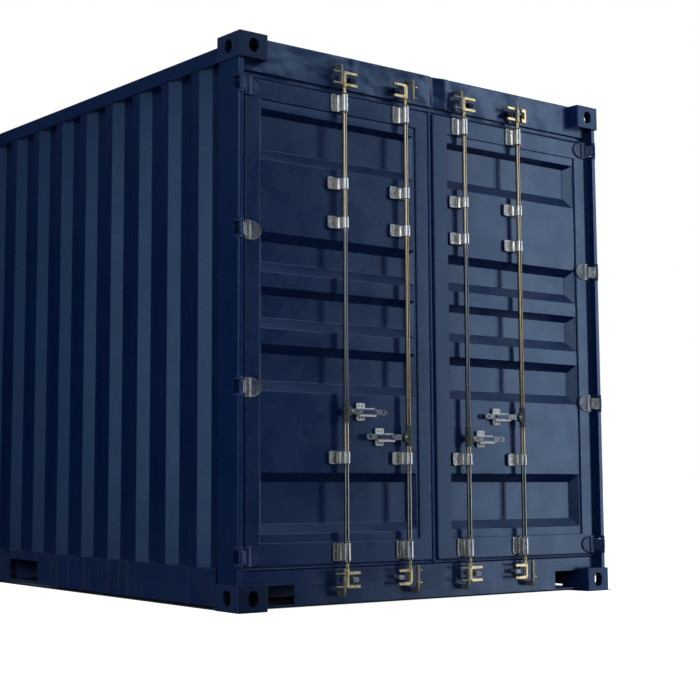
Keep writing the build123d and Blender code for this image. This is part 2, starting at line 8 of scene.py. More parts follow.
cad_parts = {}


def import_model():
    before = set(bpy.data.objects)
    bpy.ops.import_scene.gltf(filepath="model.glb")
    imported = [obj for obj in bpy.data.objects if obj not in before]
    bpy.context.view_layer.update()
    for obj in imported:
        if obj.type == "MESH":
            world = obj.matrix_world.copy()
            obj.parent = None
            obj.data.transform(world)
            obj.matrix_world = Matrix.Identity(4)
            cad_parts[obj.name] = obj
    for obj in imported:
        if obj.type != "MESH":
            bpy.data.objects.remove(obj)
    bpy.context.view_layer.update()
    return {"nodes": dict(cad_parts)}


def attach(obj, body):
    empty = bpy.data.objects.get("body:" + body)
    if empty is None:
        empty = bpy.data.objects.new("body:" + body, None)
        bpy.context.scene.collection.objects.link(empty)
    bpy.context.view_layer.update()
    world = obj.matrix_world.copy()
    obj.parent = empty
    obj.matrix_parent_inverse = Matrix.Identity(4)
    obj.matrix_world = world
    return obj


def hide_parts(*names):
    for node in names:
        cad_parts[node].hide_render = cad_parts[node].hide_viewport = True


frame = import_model()

# Everything below is written in millimetres: x across, b behind the face of the
# door-end corner castings, z up. P() turns that into metres in the row frame.
YD = -3029.0


def P(x, b, z):
    return Vector((x / 1000.0, (YD + b) / 1000.0, z / 1000.0))


# ------------------------------------------------------------------ camera
CAM_POS = (-5.07444652, -8.17804653, 0.599477294)
YAW, PITCH, ROLL = 0.624176383, 0.108801257, 0.00401821773
FOCAL, PPX, PPY = 1468.69634, 212.206406, 313.676608


def make_camera():
    d = Vector((math.sin(YAW) * math.cos(PITCH), math.cos(YAW) * math.cos(PITCH), math.sin(PITCH)))
    r = Vector((math.cos(YAW), -math.sin(YAW), 0))
    u = r.cross(d)
    c, s = math.cos(ROLL), math.sin(ROLL)
    r2 = c * r + s * u
    u2 = -s * r + c * u
    cam = bpy.data.cameras.new("camera")
    cam.sensor_fit = "HORIZONTAL"
    cam.sensor_width = 36.0
    cam.lens = FOCAL / 700.0 * 36.0
    cam.shift_x = (350.0 - PPX) / 700.0
    cam.shift_y = -(350.0 - PPY) / 700.0
    cam.clip_end = 200.0
    cam.dof.use_dof = False
    o = bpy.data.objects.new("camera", cam)
    m = Matrix((r2, u2, -d)).transposed().to_4x4()
    m.translation = Vector(CAM_POS)
    o.matrix_world = m
    bpy.context.scene.collection.objects.link(o)
    bpy.context.scene.camera = o


make_camera()

# ------------------------------------------------------------------ materials


class Nodes:
    """A short way to wire a material's nodes."""

    def __init__(self, name):
        self.mat = bpy.data.materials.new(name)
        self.mat.use_nodes = True
        self.tree = self.mat.node_tree
        self.tree.nodes.clear()
        self.out = self.add("ShaderNodeOutputMaterial")
        self.bsdf = self.add("ShaderNodeBsdfPrincipled")
        self.link(self.bsdf.outputs[0], self.out.inputs[0])
        self.pos = self.add("ShaderNodeTexCoord").outputs["Object"]

    def add(self, kind, **props):
        n = self.tree.nodes.new(kind)
        for k, v in props.items():
            setattr(n, k, v)
        return n

    def link(self, a, b):
        self.tree.links.new(a, b)

    def put(self, socket, value):
        if hasattr(value, "default_value") and hasattr(value, "is_linked"):
            self.link(value, socket)
        else:
            socket.default_value = value

    def scaled(self, sx, sy, sz, rot=(0, 0, 0)):
        m = self.add("ShaderNodeMapping")
        m.inputs["Scale"].default_value = (sx, sy, sz)
        m.inputs["Rotation"].default_value = rot
        self.link(self.pos, m.inputs["Vector"])
        return m.outputs[0]

    def noise(self, scale, detail=3.0, rough=0.55, vec=None, distort=0.0):
        n = self.add("ShaderNodeTexNoise")
        n.inputs["Scale"].default_value = scale
        n.inputs["Detail"].default_value = detail
        n.inputs["Roughness"].default_value = rough
        n.inputs["Distortion"].default_value = distort
        self.link(vec if vec is not None else self.pos, n.inputs["Vector"])
        return n.outputs["Fac"]

    def voronoi(self, scale, feature="F1", vec=None, out="Distance", rand=1.0):
        n = self.add("ShaderNodeTexVoronoi", feature=feature)
        n.inputs["Scale"].default_value = scale
        n.inputs["Randomness"].default_value = rand
        self.link(vec if vec is not None else self.pos, n.inputs["Vector"])
        return n.outputs[out]

    def remap(self, v, a, b, c=0.0, d=1.0, smooth=True):
        n = self.add("ShaderNodeMapRange")
        n.interpolation_type = "SMOOTHSTEP" if smooth else "LINEAR"
        self.put(n.inputs["Value"], v)
        n.inputs["From Min"].default_value = a
        n.inputs["From Max"].default_value = b
        n.inputs["To Min"].default_value = c
        n.inputs["To Max"].default_value = d
        return n.outputs[0]

    def math(self, op, a, b=0.0, clamp=False):
        n = self.add("ShaderNodeMath", operation=op)
        n.use_clamp = clamp
        self.put(n.inputs[0], a)
        self.put(n.inputs[1], b)
        return n.outputs[0]

    def mix(self, fac, a, b, blend="MIX"):
        n = self.add("ShaderNodeMix", data_type="RGBA", blend_type=blend)
        self.put(n.inputs[0], fac)
        for s, v in ((n.inputs[6], a), (n.inputs[7], b)):
            self.put(s, v if hasattr(v, "is_linked") else (*v, 1.0))
        return n.outputs[2]

    def bump(self, height, strength, distance, normal=None):
        n = self.add("ShaderNodeBump")
        n.inputs["Strength"].default_value = strength
        n.inputs["Distance"].default_value = distance
        self.link(height, n.inputs["Height"])
        if normal is not None:
            self.link(normal, n.inputs["Normal"])
        return n.outputs[0]

    def edge(self, radius):
        """1 on convex edges within the radius, 0 on flats: worn edges."""
        b = self.add("ShaderNodeBevel")
        b.samples = 6
        b.inputs["Radius"].default_value = radius
        g = self.add("ShaderNodeNewGeometry")
        d = self.add("ShaderNodeVectorMath", operation="DOT_PRODUCT")
        self.link(b.outputs[0], d.inputs[0])
        self.link(g.outputs["Normal"], d.inputs[1])
        return self.remap(d.outputs["Value"], 0.995, 0.86)

    def upward(self):
        g = self.add("ShaderNodeNewGeometry")
        s = self.add("ShaderNodeSeparateXYZ")
        self.link(g.outputs["Normal"], s.inputs[0])
        return s.outputs["Z"]

    def height(self):
        s = self.add("ShaderNodeSeparateXYZ")
        self.link(self.pos, s.inputs[0])
        return s.outputs["Z"]

    def set(self, name, value):
        self.put(self.bsdf.inputs[name], value)


PAINT_A = (0.0022, 0.0150, 0.068)
PAINT_B = (0.0032, 0.0185, 0.080)


def paint(name, waves=0.0, wave_scale=(1.2, 1.2, 1.2), grime_and_ground_reflection=1.0, wear=0.6, rough=0.27, streaks=0.0, spec=0.6,
          tint=1.0, hollow=False):
    """Navy semi-gloss paint: cloudy shade, dust, a greyer film lower down that is painted reflection of the ground,
    small chips, scuffs, orange peel and the slow waves of a pressed sheet."""
    m = Nodes(name)
    cloud = m.noise(2.3, 5.0, 0.6)
    a = tuple(v * tint for v in PAINT_A)
    b = tuple(v * tint for v in PAINT_B)
    col = m.mix(m.remap(cloud, 0.3, 0.7), a, b)
    fine = m.noise(38.0, 4.0, 0.65)
    col = m.mix(m.remap(fine, 0.55, 0.8, 0.0, 0.35), col, (0.006, 0.026, 0.088))
    # dust that lies on what looks up, and a greyer film lower down that is painted reflection of the ground
    up = m.remap(m.upward(), 0.35, 0.95)
    dust_n = m.noise(11.0, 6.0, 0.7)
    dust = m.math("MULTIPLY", up, m.remap(dust_n, 0.25, 0.75, 0.10, 0.40))
    low = m.remap(m.height(), 0.75, 0.0, 0.0, 0.16 * grime_and_ground_reflection)
    ground_reflection_film = m.math("MULTIPLY", low, m.remap(m.noise(7.0, 5.0, 0.7), 0.3, 0.7, 0.25, 1.0))
    dust_and_ground_reflection = m.math("ADD", m.math("MULTIPLY", dust, grime_and_ground_reflection), ground_reflection_film, clamp=True)
    col = m.mix(dust_and_ground_reflection, col, (0.036, 0.042, 0.050))
    # pale specks and a few rust coloured ones
    sp = m.voronoi(46.0)
    speck = m.math("MULTIPLY", m.remap(sp, 0.055, 0.03), m.remap(m.noise(5.0, 2.0), 0.56, 0.64))
    col = m.mix(m.math("MULTIPLY", speck, 0.55 * grime_and_ground_reflection), col, (0.13, 0.12, 0.105))
    sp2 = m.voronoi(23.0, vec=m.scaled(1.0, 1.0, 0.8, (0.3, 0.2, 0.1)))
    rust = m.math("MULTIPLY", m.remap(sp2, 0.05, 0.02), m.remap(m.noise(3.1, 3.0), 0.60, 0.68))
    col = m.mix(m.math("MULTIPLY", rust, 0.7 * grime_and_ground_reflection), col, (0.075, 0.030, 0.012))
    # worn edges: slightly paler, duller paint
    e = m.edge(0.004)
    scuff = m.math("MULTIPLY", e, m.remap(m.noise(22.0, 5.0, 0.7), 0.38, 0.66, 0.15, 1.0))
    col = m.mix(m.math("MULTIPLY", scuff, 0.30 * wear), col, (0.055, 0.085, 0.150))
    if streaks:
        st = m.noise(1.0, 5.0, 0.65, vec=m.scaled(26.0, 26.0, 0.9))
        sm = m.remap(st, 0.52, 0.72, 0.0, streaks)
        col = m.mix(sm, col, (0.05, 0.062, 0.080))
    cavity_shade = None
    if hollow:
        # painted shade: the insides of the castings nearly black and the end faces of the left castings darker; painted
        # light: the outer side faces of all castings paler
        sep = m.add("ShaderNodeSeparateXYZ")
        m.link(m.pos, sep.inputs[0])
        ax = m.math("ABSOLUTE", sep.outputs["X"])
        ay = m.math("ABSOLUTE", sep.outputs["Y"])
        az = m.math("MINIMUM", sep.outputs["Z"], m.math("SUBTRACT", 2.591, sep.outputs["Z"]))
        d = m.math("SUBTRACT", 1.219, ax)
        for v in (m.math("SUBTRACT", ax, 1.057), m.math("SUBTRACT", 3.029, ay), m.math("SUBTRACT", ay, 2.851),
                  az, m.math("SUBTRACT", 0.118, az)):
            d = m.math("MINIMUM", d, v)
        cavity_shade = m.remap(d, 0.004, 0.014)
        end = m.math("MULTIPLY", m.remap(ay, 3.0265, 3.0285), m.remap(sep.outputs["X"], 0.2, -0.2, 0.0, 0.85))
        col = m.mix(end, col, (0.0002, 0.0042, 0.029))
        flank = m.math("MULTIPLY", m.remap(ax, 1.2165, 1.2185), 0.6)
        col = m.mix(flank, col, (0.024, 0.046, 0.092))
        col = m.mix(cavity_shade, col, (0.0003, 0.0004, 0.0007))
    m.set("Base Color", col)
    r = m.math("ADD", m.remap(m.noise(6.0, 5.0, 0.6), 0.3, 0.7, rough - 0.03, rough + 0.04),
               m.math("MULTIPLY", dust_and_ground_reflection, 0.30))
    r = m.math("ADD", r, m.math("MULTIPLY", scuff, 0.10), clamp=True)
    if hollow:
        r = m.math("ADD", r, m.math("MULTIPLY", cavity_shade, 0.6), clamp=True)
    m.set("Roughness", r)
    m.bsdf.inputs["Specular IOR Level"].default_value = spec
    m.bsdf.inputs["Specular Tint"].default_value = (0.56, 0.80, 1.0, 1.0)
    peel = m.noise(330.0, 2.0, 0.5)
    n = m.bump(peel, 0.05, 0.0006)
    mid = m.noise(14.0, 3.0, 0.5)
    n = m.bump(mid, 0.07, 0.002, n)
    if waves:
        w = m.noise(1.0, 2.0, 0.4, vec=m.scaled(*wave_scale))
        n = m.bump(w, waves, 0.02, n)
    m.set("Normal", n)
    return m.mat


def zinc(name, lo=(0.42, 0.42, 0.40), hi=(0.66, 0.66, 0.64), rough=0.30, stain=0.5, warm=0.0):
    """Zinc plate: metallic, crystalline spangle, white bloom and dark stains."""
    m = Nodes(name)
    cells = m.voronoi(130.0, out="Color")
    sep = m.add("ShaderNodeSeparateColor")
    m.link(cells, sep.inputs[0])
    spangle = m.remap(sep.outputs[0], 0.0, 1.0, 0.0, 1.0, smooth=False)
    cloud = m.noise(26.0, 5.0, 0.6)
    k = m.math("ADD", m.math("MULTIPLY", spangle, 0.35), m.math("MULTIPLY", cloud, 0.65))
    col = m.mix(m.remap(k, 0.25, 0.75), lo, hi)
    if warm:
        col = m.mix(m.remap(m.noise(9.0, 4.0), 0.35, 0.7, 0.0, warm), col, (0.60, 0.46, 0.25))
    st = m.remap(m.noise(60.0, 6.0, 0.7), 0.58, 0.72)
    col = m.mix(m.math("MULTIPLY", st, stain), col, (0.10, 0.085, 0.065))
    e = m.edge(0.0015)
    col = m.mix(m.math("MULTIPLY", e, 0.5), col, (0.85, 0.85, 0.83))
    m.set("Base Color", col)
    m.bsdf.inputs["Metallic"].default_value = 1.0
    r = m.math("ADD", m.remap(cloud, 0.3, 0.7, rough - 0.06, rough + 0.10), m.math("MULTIPLY", st, 0.25))
    m.set("Roughness", r)
    n = m.bump(m.noise(420.0, 3.0, 0.6), 0.04, 0.0003)
    m.set("Normal", n)
    return m.mat


def bar_metal(name, gold=0.0):
    """Zinc-plated tube: drawn streaks along its length, straw coloured in the upper and
    lower parts, dull and dark between, grime rings."""
    m = Nodes(name)
    z = m.height()
    streak = m.noise(1.0, 4.0, 0.55, vec=m.scaled(170.0, 170.0, 1.2))
    cloud = m.noise(1.0, 5.0, 0.6, vec=m.scaled(30.0, 30.0, 5.0))
    dark = m.mix(streak, (0.085, 0.092, 0.098), (0.17, 0.18, 0.185))
    straw = m.mix(streak, (0.27, 0.215, 0.135), (0.43, 0.35, 0.235))
    if gold:
        dark = m.mix(m.math("MULTIPLY", m.remap(cloud, 0.2, 0.8, 0.75, 1.0), gold), dark, (0.34, 0.235, 0.115))
    low = m.mix(streak, (0.20, 0.19, 0.155), (0.38, 0.365, 0.32))
    wob = m.math("MULTIPLY", m.math("SUBTRACT", cloud, 0.5), 0.10)
    zz = m.math("ADD", z, wob)
    col = m.mix(m.remap(zz, 1.715, 1.775), dark, straw)
    warm = m.math("MULTIPLY", m.remap(zz, 0.660, 0.690), m.remap(zz, 0.860, 0.800))
    col = m.mix(warm, col, (0.52, 0.43, 0.29))
    col = m.mix(m.remap(zz, 0.665, 0.640), col, low)
    grime = m.remap(m.noise(1.0, 6.0, 0.7, vec=m.scaled(60.0, 60.0, 9.0)), 0.56, 0.74)
    col = m.mix(m.math("MULTIPLY", grime, 0.25), col, (0.060, 0.055, 0.048))
    m.set("Base Color", col)
    m.bsdf.inputs["Metallic"].default_value = 1.0
    m.set("Roughness", m.math("ADD", m.remap(streak, 0.3, 0.7, 0.17, 0.24), m.math("MULTIPLY", grime, 0.10)))
    m.set("Normal", m.bump(m.noise(1.0, 3.0, 0.6, vec=m.scaled(260.0, 260.0, 8.0)), 0.04, 0.0003))
    return m.mat


def yellow_zinc(name):
    """Yellow chromated zinc: golden, iridescent to olive, rubbed bright at the edges."""
    m = Nodes(name)
    cloud = m.noise(34.0, 5.0, 0.6)
    col = m.mix(m.remap(cloud, 0.3, 0.7), (0.55, 0.38, 0.15), (0.86, 0.68, 0.36))
    olive = m.remap(m.noise(14.0, 4.0, 0.6), 0.50, 0.68)
    col = m.mix(m.math("MULTIPLY", olive, 0.6), col, (0.22, 0.19, 0.10))
    st = m.remap(m.noise(90.0, 6.0, 0.7), 0.56, 0.70)
    col = m.mix(m.math("MULTIPLY", st, 0.6), col, (0.06, 0.042, 0.022))
    e = m.edge(0.0018)
    col = m.mix(m.math("MULTIPLY", e, 0.6), col, (0.92, 0.83, 0.58))
    m.set("Base Color", col)
    m.bsdf.inputs["Metallic"].default_value = 1.0
    m.set("Roughness", m.math("ADD", m.remap(cloud, 0.3, 0.7, 0.24, 0.40), m.math("MULTIPLY", st, 0.25)))
    n = m.bump(m.noise(380.0, 3.0, 0.6), 0.07, 0.0004)
    m.set("Normal", n)
    return m.mat


def worn_paint(name, bare, tone=1.0):
    """Navy paint rubbed through to dull beige zinc: a thin even veil, bare on the edges."""
    m = Nodes(name)
    patch = m.noise(24.0, 5.0, 0.6)
    fine = m.noise(120.0, 4.0, 0.6)
    e = m.edge(0.0025)
    k = m.math("ADD", m.math("MULTIPLY", patch, 0.7), m.math("MULTIPLY", fine, 0.3))
    k = m.math("ADD", k, m.math("MULTIPLY", e, 0.22))
    mask = m.remap(k, 0.80 - bare * 0.62, 0.98 - bare * 0.50)
    lo, hi = tuple(v * tone for v in (0.17, 0.168, 0.155)), tuple(v * tone for v in (0.33, 0.325, 0.305))
    grey = m.mix(m.remap(m.noise(60.0, 5.0), 0.3, 0.7), lo, hi)
    col = m.mix(mask, m.mix(m.remap(patch, 0.3, 0.7), PAINT_A, (0.012, 0.034, 0.098)), grey)
    m.set("Base Color", col)
    m.set("Metallic", m.math("MULTIPLY", mask, 0.6))
    m.set("Roughness", m.remap(fine, 0.3, 0.7, 0.32, 0.42))
    m.bsdf.inputs["Specular Tint"].default_value = (0.7, 0.86, 1.0, 1.0)
    m.set("Normal", m.bump(m.noise(150.0, 4.0, 0.6), 0.10, 0.0008))
    return m.mat


def keeper_metal(name):
    """Brown-olive chromate gone dull, touched with blue overspray."""
    m = Nodes(name)
    cloud = m.noise(36.0, 5.0, 0.65)
    col = m.mix(m.remap(cloud, 0.3, 0.7), (0.20, 0.185, 0.13), (0.42, 0.38, 0.27))
    over = m.remap(m.noise(20.0, 5.0, 0.7), 0.52, 0.64)
    col = m.mix(m.math("MULTIPLY", over, 0.45), col, (0.060, 0.068, 0.070))
    e = m.edge(0.0022)
    col = m.mix(m.math("MULTIPLY", e, 0.6), col, (0.62, 0.59, 0.48))
    m.set("Base Color", col)
    m.bsdf.inputs["Metallic"].default_value = 0.55
    m.set("Roughness", m.remap(cloud, 0.3, 0.7, 0.36, 0.52))
    m.set("Normal", m.bump(m.noise(260.0, 4.0, 0.65), 0.30, 0.0010))
    return m.mat


def cream(name):
    """Cream paint on pressed plates, chipped to grey along the edges."""
    m = Nodes(name)
    cloud = m.noise(40.0, 5.0, 0.6)
    col = m.mix(m.remap(cloud, 0.3, 0.7), (0.84, 0.81, 0.70), (0.96, 0.93, 0.84))
    grime = m.remap(m.noise(75.0, 6.0, 0.7), 0.52, 0.72)
    col = m.mix(m.math("MULTIPLY", grime, 0.35), col, (0.30, 0.28, 0.23))
    e = m.math("MULTIPLY", m.edge(0.0015), m.remap(m.noise(160.0, 4.0), 0.42, 0.58))
    col = m.mix(m.math("MULTIPLY", e, 0.8), col, (0.28, 0.27, 0.25))
    m.set("Base Color", col)
    m.set("Roughness", m.math("ADD", m.remap(cloud, 0.3, 0.7, 0.36, 0.48), m.math("MULTIPLY", grime, 0.2)))
    m.set("Normal", m.bump(m.noise(420.0, 3.0), 0.15, 0.0005))
    return m.mat


def dark_cast(name):
    """Dark grey-green cast iron with a sandy skin and rubbed edges."""
    m = Nodes(name)
    cloud = m.noise(50.0, 5.0, 0.6)
    col = m.mix(m.remap(cloud, 0.3, 0.7), (0.040, 0.045, 0.037), (0.105, 0.110, 0.092))
    rust = m.remap(m.noise(24.0, 6.0, 0.7), 0.56, 0.70)
    col = m.mix(m.math("MULTIPLY", rust, 0.55), col, (0.10, 0.045, 0.020))
    e = m.edge(0.0018)
    col = m.mix(m.math("MULTIPLY", e, 0.5), col, (0.30, 0.29, 0.26))
    m.set("Base Color", col)
    m.bsdf.inputs["Metallic"].default_value = 0.35
    m.set("Roughness", m.remap(cloud, 0.3, 0.7, 0.42, 0.62))
    m.set("Normal", m.bump(m.noise(300.0, 5.0, 0.7), 0.45, 0.0012))
    return m.mat


def rubber(name):
    """Black extruded rubber: fine pores, chalky bloom on the lips."""
    m = Nodes(name)
    cloud = m.noise(12.0, 5.0, 0.6)
    col = m.mix(m.remap(cloud, 0.3, 0.7), (0.010, 0.010, 0.011), (0.022, 0.022, 0.023))
    bloom = m.remap(m.noise(90.0, 5.0, 0.7), 0.5, 0.75, 0.0, 0.4)
    col = m.mix(bloom, col, (0.060, 0.058, 0.054))
    m.set("Base Color", col)
    m.set("Roughness", m.remap(cloud, 0.3, 0.7, 0.50, 0.68))
    m.bsdf.inputs["Specular IOR Level"].default_value = 0.35
    m.set("Normal", m.bump(m.noise(900.0, 3.0), 0.25, 0.0004))
    return m.mat


def plywood(name):
    """Container floor plywood: long grain along the box, dark resin finish, scuffs."""
    m = Nodes(name)
    grain = m.noise(1.0, 6.0, 0.62, vec=m.scaled(42.0, 1.6, 42.0), distort=0.6)
    col = m.mix(m.remap(grain, 0.28, 0.72), (0.105, 0.047, 0.020), (0.26, 0.145, 0.070))
    veins = m.noise(1.0, 4.0, 0.7, vec=m.scaled(190.0, 2.2, 60.0))
    col = m.mix(m.remap(veins, 0.54, 0.74, 0.0, 0.6), col, (0.055, 0.026, 0.012))
    scuffs = m.noise(1.0, 6.0, 0.7, vec=m.scaled(5.0, 1.1, 5.0))
    col = m.mix(m.remap(scuffs, 0.53, 0.72, 0.0, 0.35), col, (0.30, 0.24, 0.17))
    m.set("Base Color", col)
    m.set("Roughness", m.remap(grain, 0.3, 0.7, 0.45, 0.65))
    m.set("Normal", m.bump(veins, 0.25, 0.001))
    return m.mat


# ------------------------------------------------------------------ stage and light
def area(name, pos, target, size, radiance, color=(1.0, 1.0, 1.0)):
    """A soft box: a plain rectangle of that radiance."""
    l = bpy.data.lights.new(name, "AREA")
    l.shape = "RECTANGLE"
    l.size, l.size_y = size
    l.energy = size[0] * size[1] * math.pi * radiance
    l.color = color
    o = bpy.data.objects.new(name, l)
    p = Vector(pos)
    o.location = p
    o.rotation_euler = (Vector(target) - p).to_track_quat("-Z", "Y").to_euler()
    bpy.context.scene.collection.objects.link(o)
    return o


def floor_material():
    """Pale seamless paper, evenly lit from below its surface, with a painted shadow under the container and in a strip
    beside its right side near the door end.
    """
    m = Nodes("studio_floor")
    n = m.noise(0.6, 3.0)
    m.set("Base Color", m.mix(n, (0.60, 0.60, 0.61), (0.63, 0.63, 0.64)))
    m.bsdf.inputs["Roughness"].default_value = 0.9
    m.bsdf.inputs["Specular IOR Level"].default_value = 0.0
    m.bsdf.inputs["Emission Color"].default_value = (1.0, 1.0, 1.0, 1.0)
    # painted shadow: the glow falls to nothing inside the container's footprint and in a strip by its right side
    sep = m.add("ShaderNodeSeparateXYZ")
    m.link(m.pos, sep.inputs[0])
    wide = m.remap(sep.outputs["Y"], -1.9, -2.3, 0.0, 0.075)
    across = m.math("MAXIMUM", m.remap(m.math("SUBTRACT", sep.outputs["X"], wide), 1.198, 1.218),
                    m.remap(sep.outputs["X"], -1.198, -1.218))
    side = m.remap(m.math("ABSOLUTE", sep.outputs["X"]), 1.03, 1.06)
    near = m.math("SUBTRACT", 3.01, m.math("MULTIPLY", m.math("SUBTRACT", 1.0, side), 0.109))
    depth = m.math("SUBTRACT", m.math("ABSOLUTE", sep.outputs["Y"]), near)
    along = m.remap(depth, 0.0, 0.02)
    m.set("Emission Strength", m.remap(m.math("MAXIMUM", across, along), 0.0, 1.0, 0.0, 1.0))
    return m.mat


def world(zenith, horizon, ground):
    """Dim room: brighter overhead, dark at the horizon, grey-brown ground; the camera sees plain white."""
    w = bpy.data.worlds.new("studio")
    bpy.context.scene.world = w
    w.use_nodes = True
    t = w.node_tree
    t.nodes.clear()
    new, link = t.nodes.new, t.links.new
    out, mix = new("ShaderNodeOutputWorld"), new("ShaderNodeMixShader")
    dim, white, path = new("ShaderNodeBackground"), new("ShaderNodeBackground"), new("ShaderNodeLightPath")
    co, sep = new("ShaderNodeTexCoord"), new("ShaderNodeSeparateXYZ")
    link(co.outputs["Generated"], sep.inputs[0])

    def ramp(a, b):
        n = new("ShaderNodeMapRange")
        n.interpolation_type = "SMOOTHSTEP"
        n.inputs["From Min"].default_value = a
        n.inputs["From Max"].default_value = b
        link(sep.outputs["Z"], n.inputs["Value"])
        return n.outputs[0]

    def blend(fac, a, b):
        n = new("ShaderNodeMix")
        n.data_type = "RGBA"
        link(fac, n.inputs[0])
        for s, v in ((n.inputs[6], a), (n.inputs[7], b)):
            if hasattr(v, "is_linked"):
                link(v, s)
            else:
                s.default_value = (*v, 1.0)
        return n.outputs[2]

    c = blend(ramp(0.12, 0.75), horizon, zenith)
    c = blend(ramp(-0.02, -0.10), c, ground)
    link(c, dim.inputs[0])
    dim.inputs[1].default_value = 1.0
    white.inputs[0].default_value = (1.0, 1.0, 1.0, 1.0)
    white.inputs[1].default_value = 1.0
    link(path.outputs["Is Camera Ray"], mix.inputs[0])
    link(dim.outputs[0], mix.inputs[1])
    link(white.outputs[0], mix.inputs[2])
    link(mix.outputs[0], out.inputs[0])


def make_floor():
    bm = bmesh.new()
    bmesh.ops.create_grid(bm, x_segments=24, y_segments=24, size=60.0)
    me = bpy.data.meshes.new("studio_floor")
    bm.to_mesh(me)
    bm.free()
    o = bpy.data.objects.new("studio_floor", me)
    o.data.materials.append(floor_material())
    bpy.context.scene.collection.objects.link(o)
    o.visible_glossy = False
    o.visible_diffuse = False
    o.visible_shadow = False


make_floor()
# lights begin
world((0.36, 0.43, 0.52), (0.0, 0.0, 0.0), (0.02, 0.02, 0.022))
COOL = (0.82, 0.93, 1.15)
area("soft_right", (5.7, -7.3, 2.0), (0.6, -3.0, 2.0), (1.7, 6.8), 3.1, COOL)
area("soft_right_far", (8.7, -5.9, 2.2), (0.3, -3.0, 1.6), (1.3, 6.8), 3.0, COOL)
area("soft_high_right", (5.0, -9.5, 7.0), (0.0, -3.0, 1.3), (3.0, 3.0), 2.2, COOL)
area("soft_front_left", (-6.0, -12.0, 4.0), (-1.0, -2.0, 1.3), (5.0, 4.0), 3.4, (0.90, 0.97, 1.10))
area("soft_left", (-9.0, -4.0, 2.0), (-1.2, -1.0, 1.3), (4.0, 5.0), 1.35, (0.78, 0.95, 1.20))
area("soft_left_far", (-9.0, 1.0, 2.0), (-1.2, 0.0, 1.3), (6.0, 5.0), 0.35, (0.78, 0.95, 1.20))
area("soft_back", (7.5, 9.0, 4.5), (0.0, 2.0, 1.3), (5.0, 4.0), 1.6, (0.90, 0.97, 1.10))
# lights end
bpy.context.scene.view_settings.view_transform = "Standard"
bpy.context.scene.view_settings.look = "None"
bpy.context.scene.view_settings.exposure = 0.0
bpy.context.scene.view_settings.gamma = 1.0

# ------------------------------------------------------------------ finishes
M = {
    "paint": paint("navy_paint"),
    "paint_wall": paint("navy_paint_wall", waves=0.35, wave_scale=(1.0, 1.6, 0.7)),
    "paint_door": paint("navy_paint_door", waves=0.30, wave_scale=(1.5, 1.0, 1.3)),
    "paint_frame": paint("navy_paint_frame", waves=0.12, wave_scale=(3.0, 3.0, 3.0), wear=0.9, tint=1.2),
    "paint_header": paint("navy_paint_header", waves=0.8, wave_scale=(4.2, 1.0, 6.0), wear=0.9),
    "paint_sill": paint("navy_paint_sill", waves=0.5, wave_scale=(3.0, 1.0, 5.0), wear=0.9, streaks=0.35),
    # rails and cross members: a paler navy with heavy streaks and a strong film lower down, partly weathering and
    # partly painted reflection of the ground
    "paint_rail": paint("navy_paint_rail", waves=0.5, wave_scale=(3.0, 3.0, 6.0), wear=0.9, streaks=0.8, tint=1.5, grime_and_ground_reflection=2.6),
    "paint_boss": paint("navy_paint_boss", wear=1.4, spec=0.25, tint=0.35, rough=0.45),
    "boss_worn": worn_paint("boss_worn", 0.86, 1.25),
    "paint_cast": paint("navy_paint_casting", waves=0.0, wear=1.3, rough=0.33, spec=0.36, tint=1.4, hollow=True),
    # seal lips in a paler navy: partly their own painted-over rubber, partly painted highlight on the rounded lip
    "paint_seal": paint("navy_paint_seal", waves=0.3, wave_scale=(6.0, 6.0, 6.0), wear=0.4, rough=0.45, tint=1.6),
    "strap": zinc("zinc_strap", lo=(0.58, 0.56, 0.51), hi=(0.76, 0.74, 0.68), rough=0.30, stain=0.10),
    "zinc": zinc("zinc_plate", lo=(0.26, 0.25, 0.215), hi=(0.52, 0.50, 0.44), rough=0.38, stain=0.45),
    "zinc_bar": bar_metal("zinc_bar"),
    "zinc_bar_gold": bar_metal("zinc_bar_gold", 0.8),
    "zinc_dull": zinc("zinc_lever", lo=(0.075, 0.078, 0.075), hi=(0.20, 0.205, 0.20), rough=0.33, stain=0.6),
    # middle hinge leaves: rim, crease and crank in a brighter tone as painted highlight, the dish in a darker tone as
    # painted shade, with more paint left in the dish
    "leaf_worn": worn_paint("hinge_leaf_worn", 0.95, 1.15),
    "leaf_dish": worn_paint("hinge_leaf_dish", 0.78, 0.62),
    "leaf_painted": worn_paint("hinge_leaf_painted", 0.24, 0.8),
    "keeper": keeper_metal("keeper_metal"),
    "yellow": yellow_zinc("yellow_zinc"),
    "cream": cream("cream_paint"),
    "cast": dark_cast("dark_casting"),
    "rubber": rubber("rubber_seal"),
    "plywood": plywood("floor_plywood"),
}


def finish_cad(node, mat, bevel=None, segments=2, angle=30.0):
    """A CAD node that stays: seams welded, edges rounded, shaded by its faces."""
    o = frame["nodes"][node]
    o.data.materials.clear()
    o.data.materials.append(M[mat])
    w = o.modifiers.new("weld", "WELD")
    w.merge_threshold = 0.00005
    if bevel:
        b = o.modifiers.new("bevel", "BEVEL")
        b.width = bevel / 1000.0
        b.segments = segments
        b.limit_method = "ANGLE"
        b.angle_limit = math.radians(angle)
        b.harden_normals = False
        b.use_clamp_overlap = True
        n = o.modifiers.new("normals", "WEIGHTED_NORMAL")
        n.keep_sharp = True
        n.weight = 100
    o.data.polygons.foreach_set("use_smooth", [True] * len(o.data.polygons))
    if not bevel:
        e = o.modifiers.new("split", "EDGE_SPLIT")
        e.split_angle = math.radians(angle)
    return o


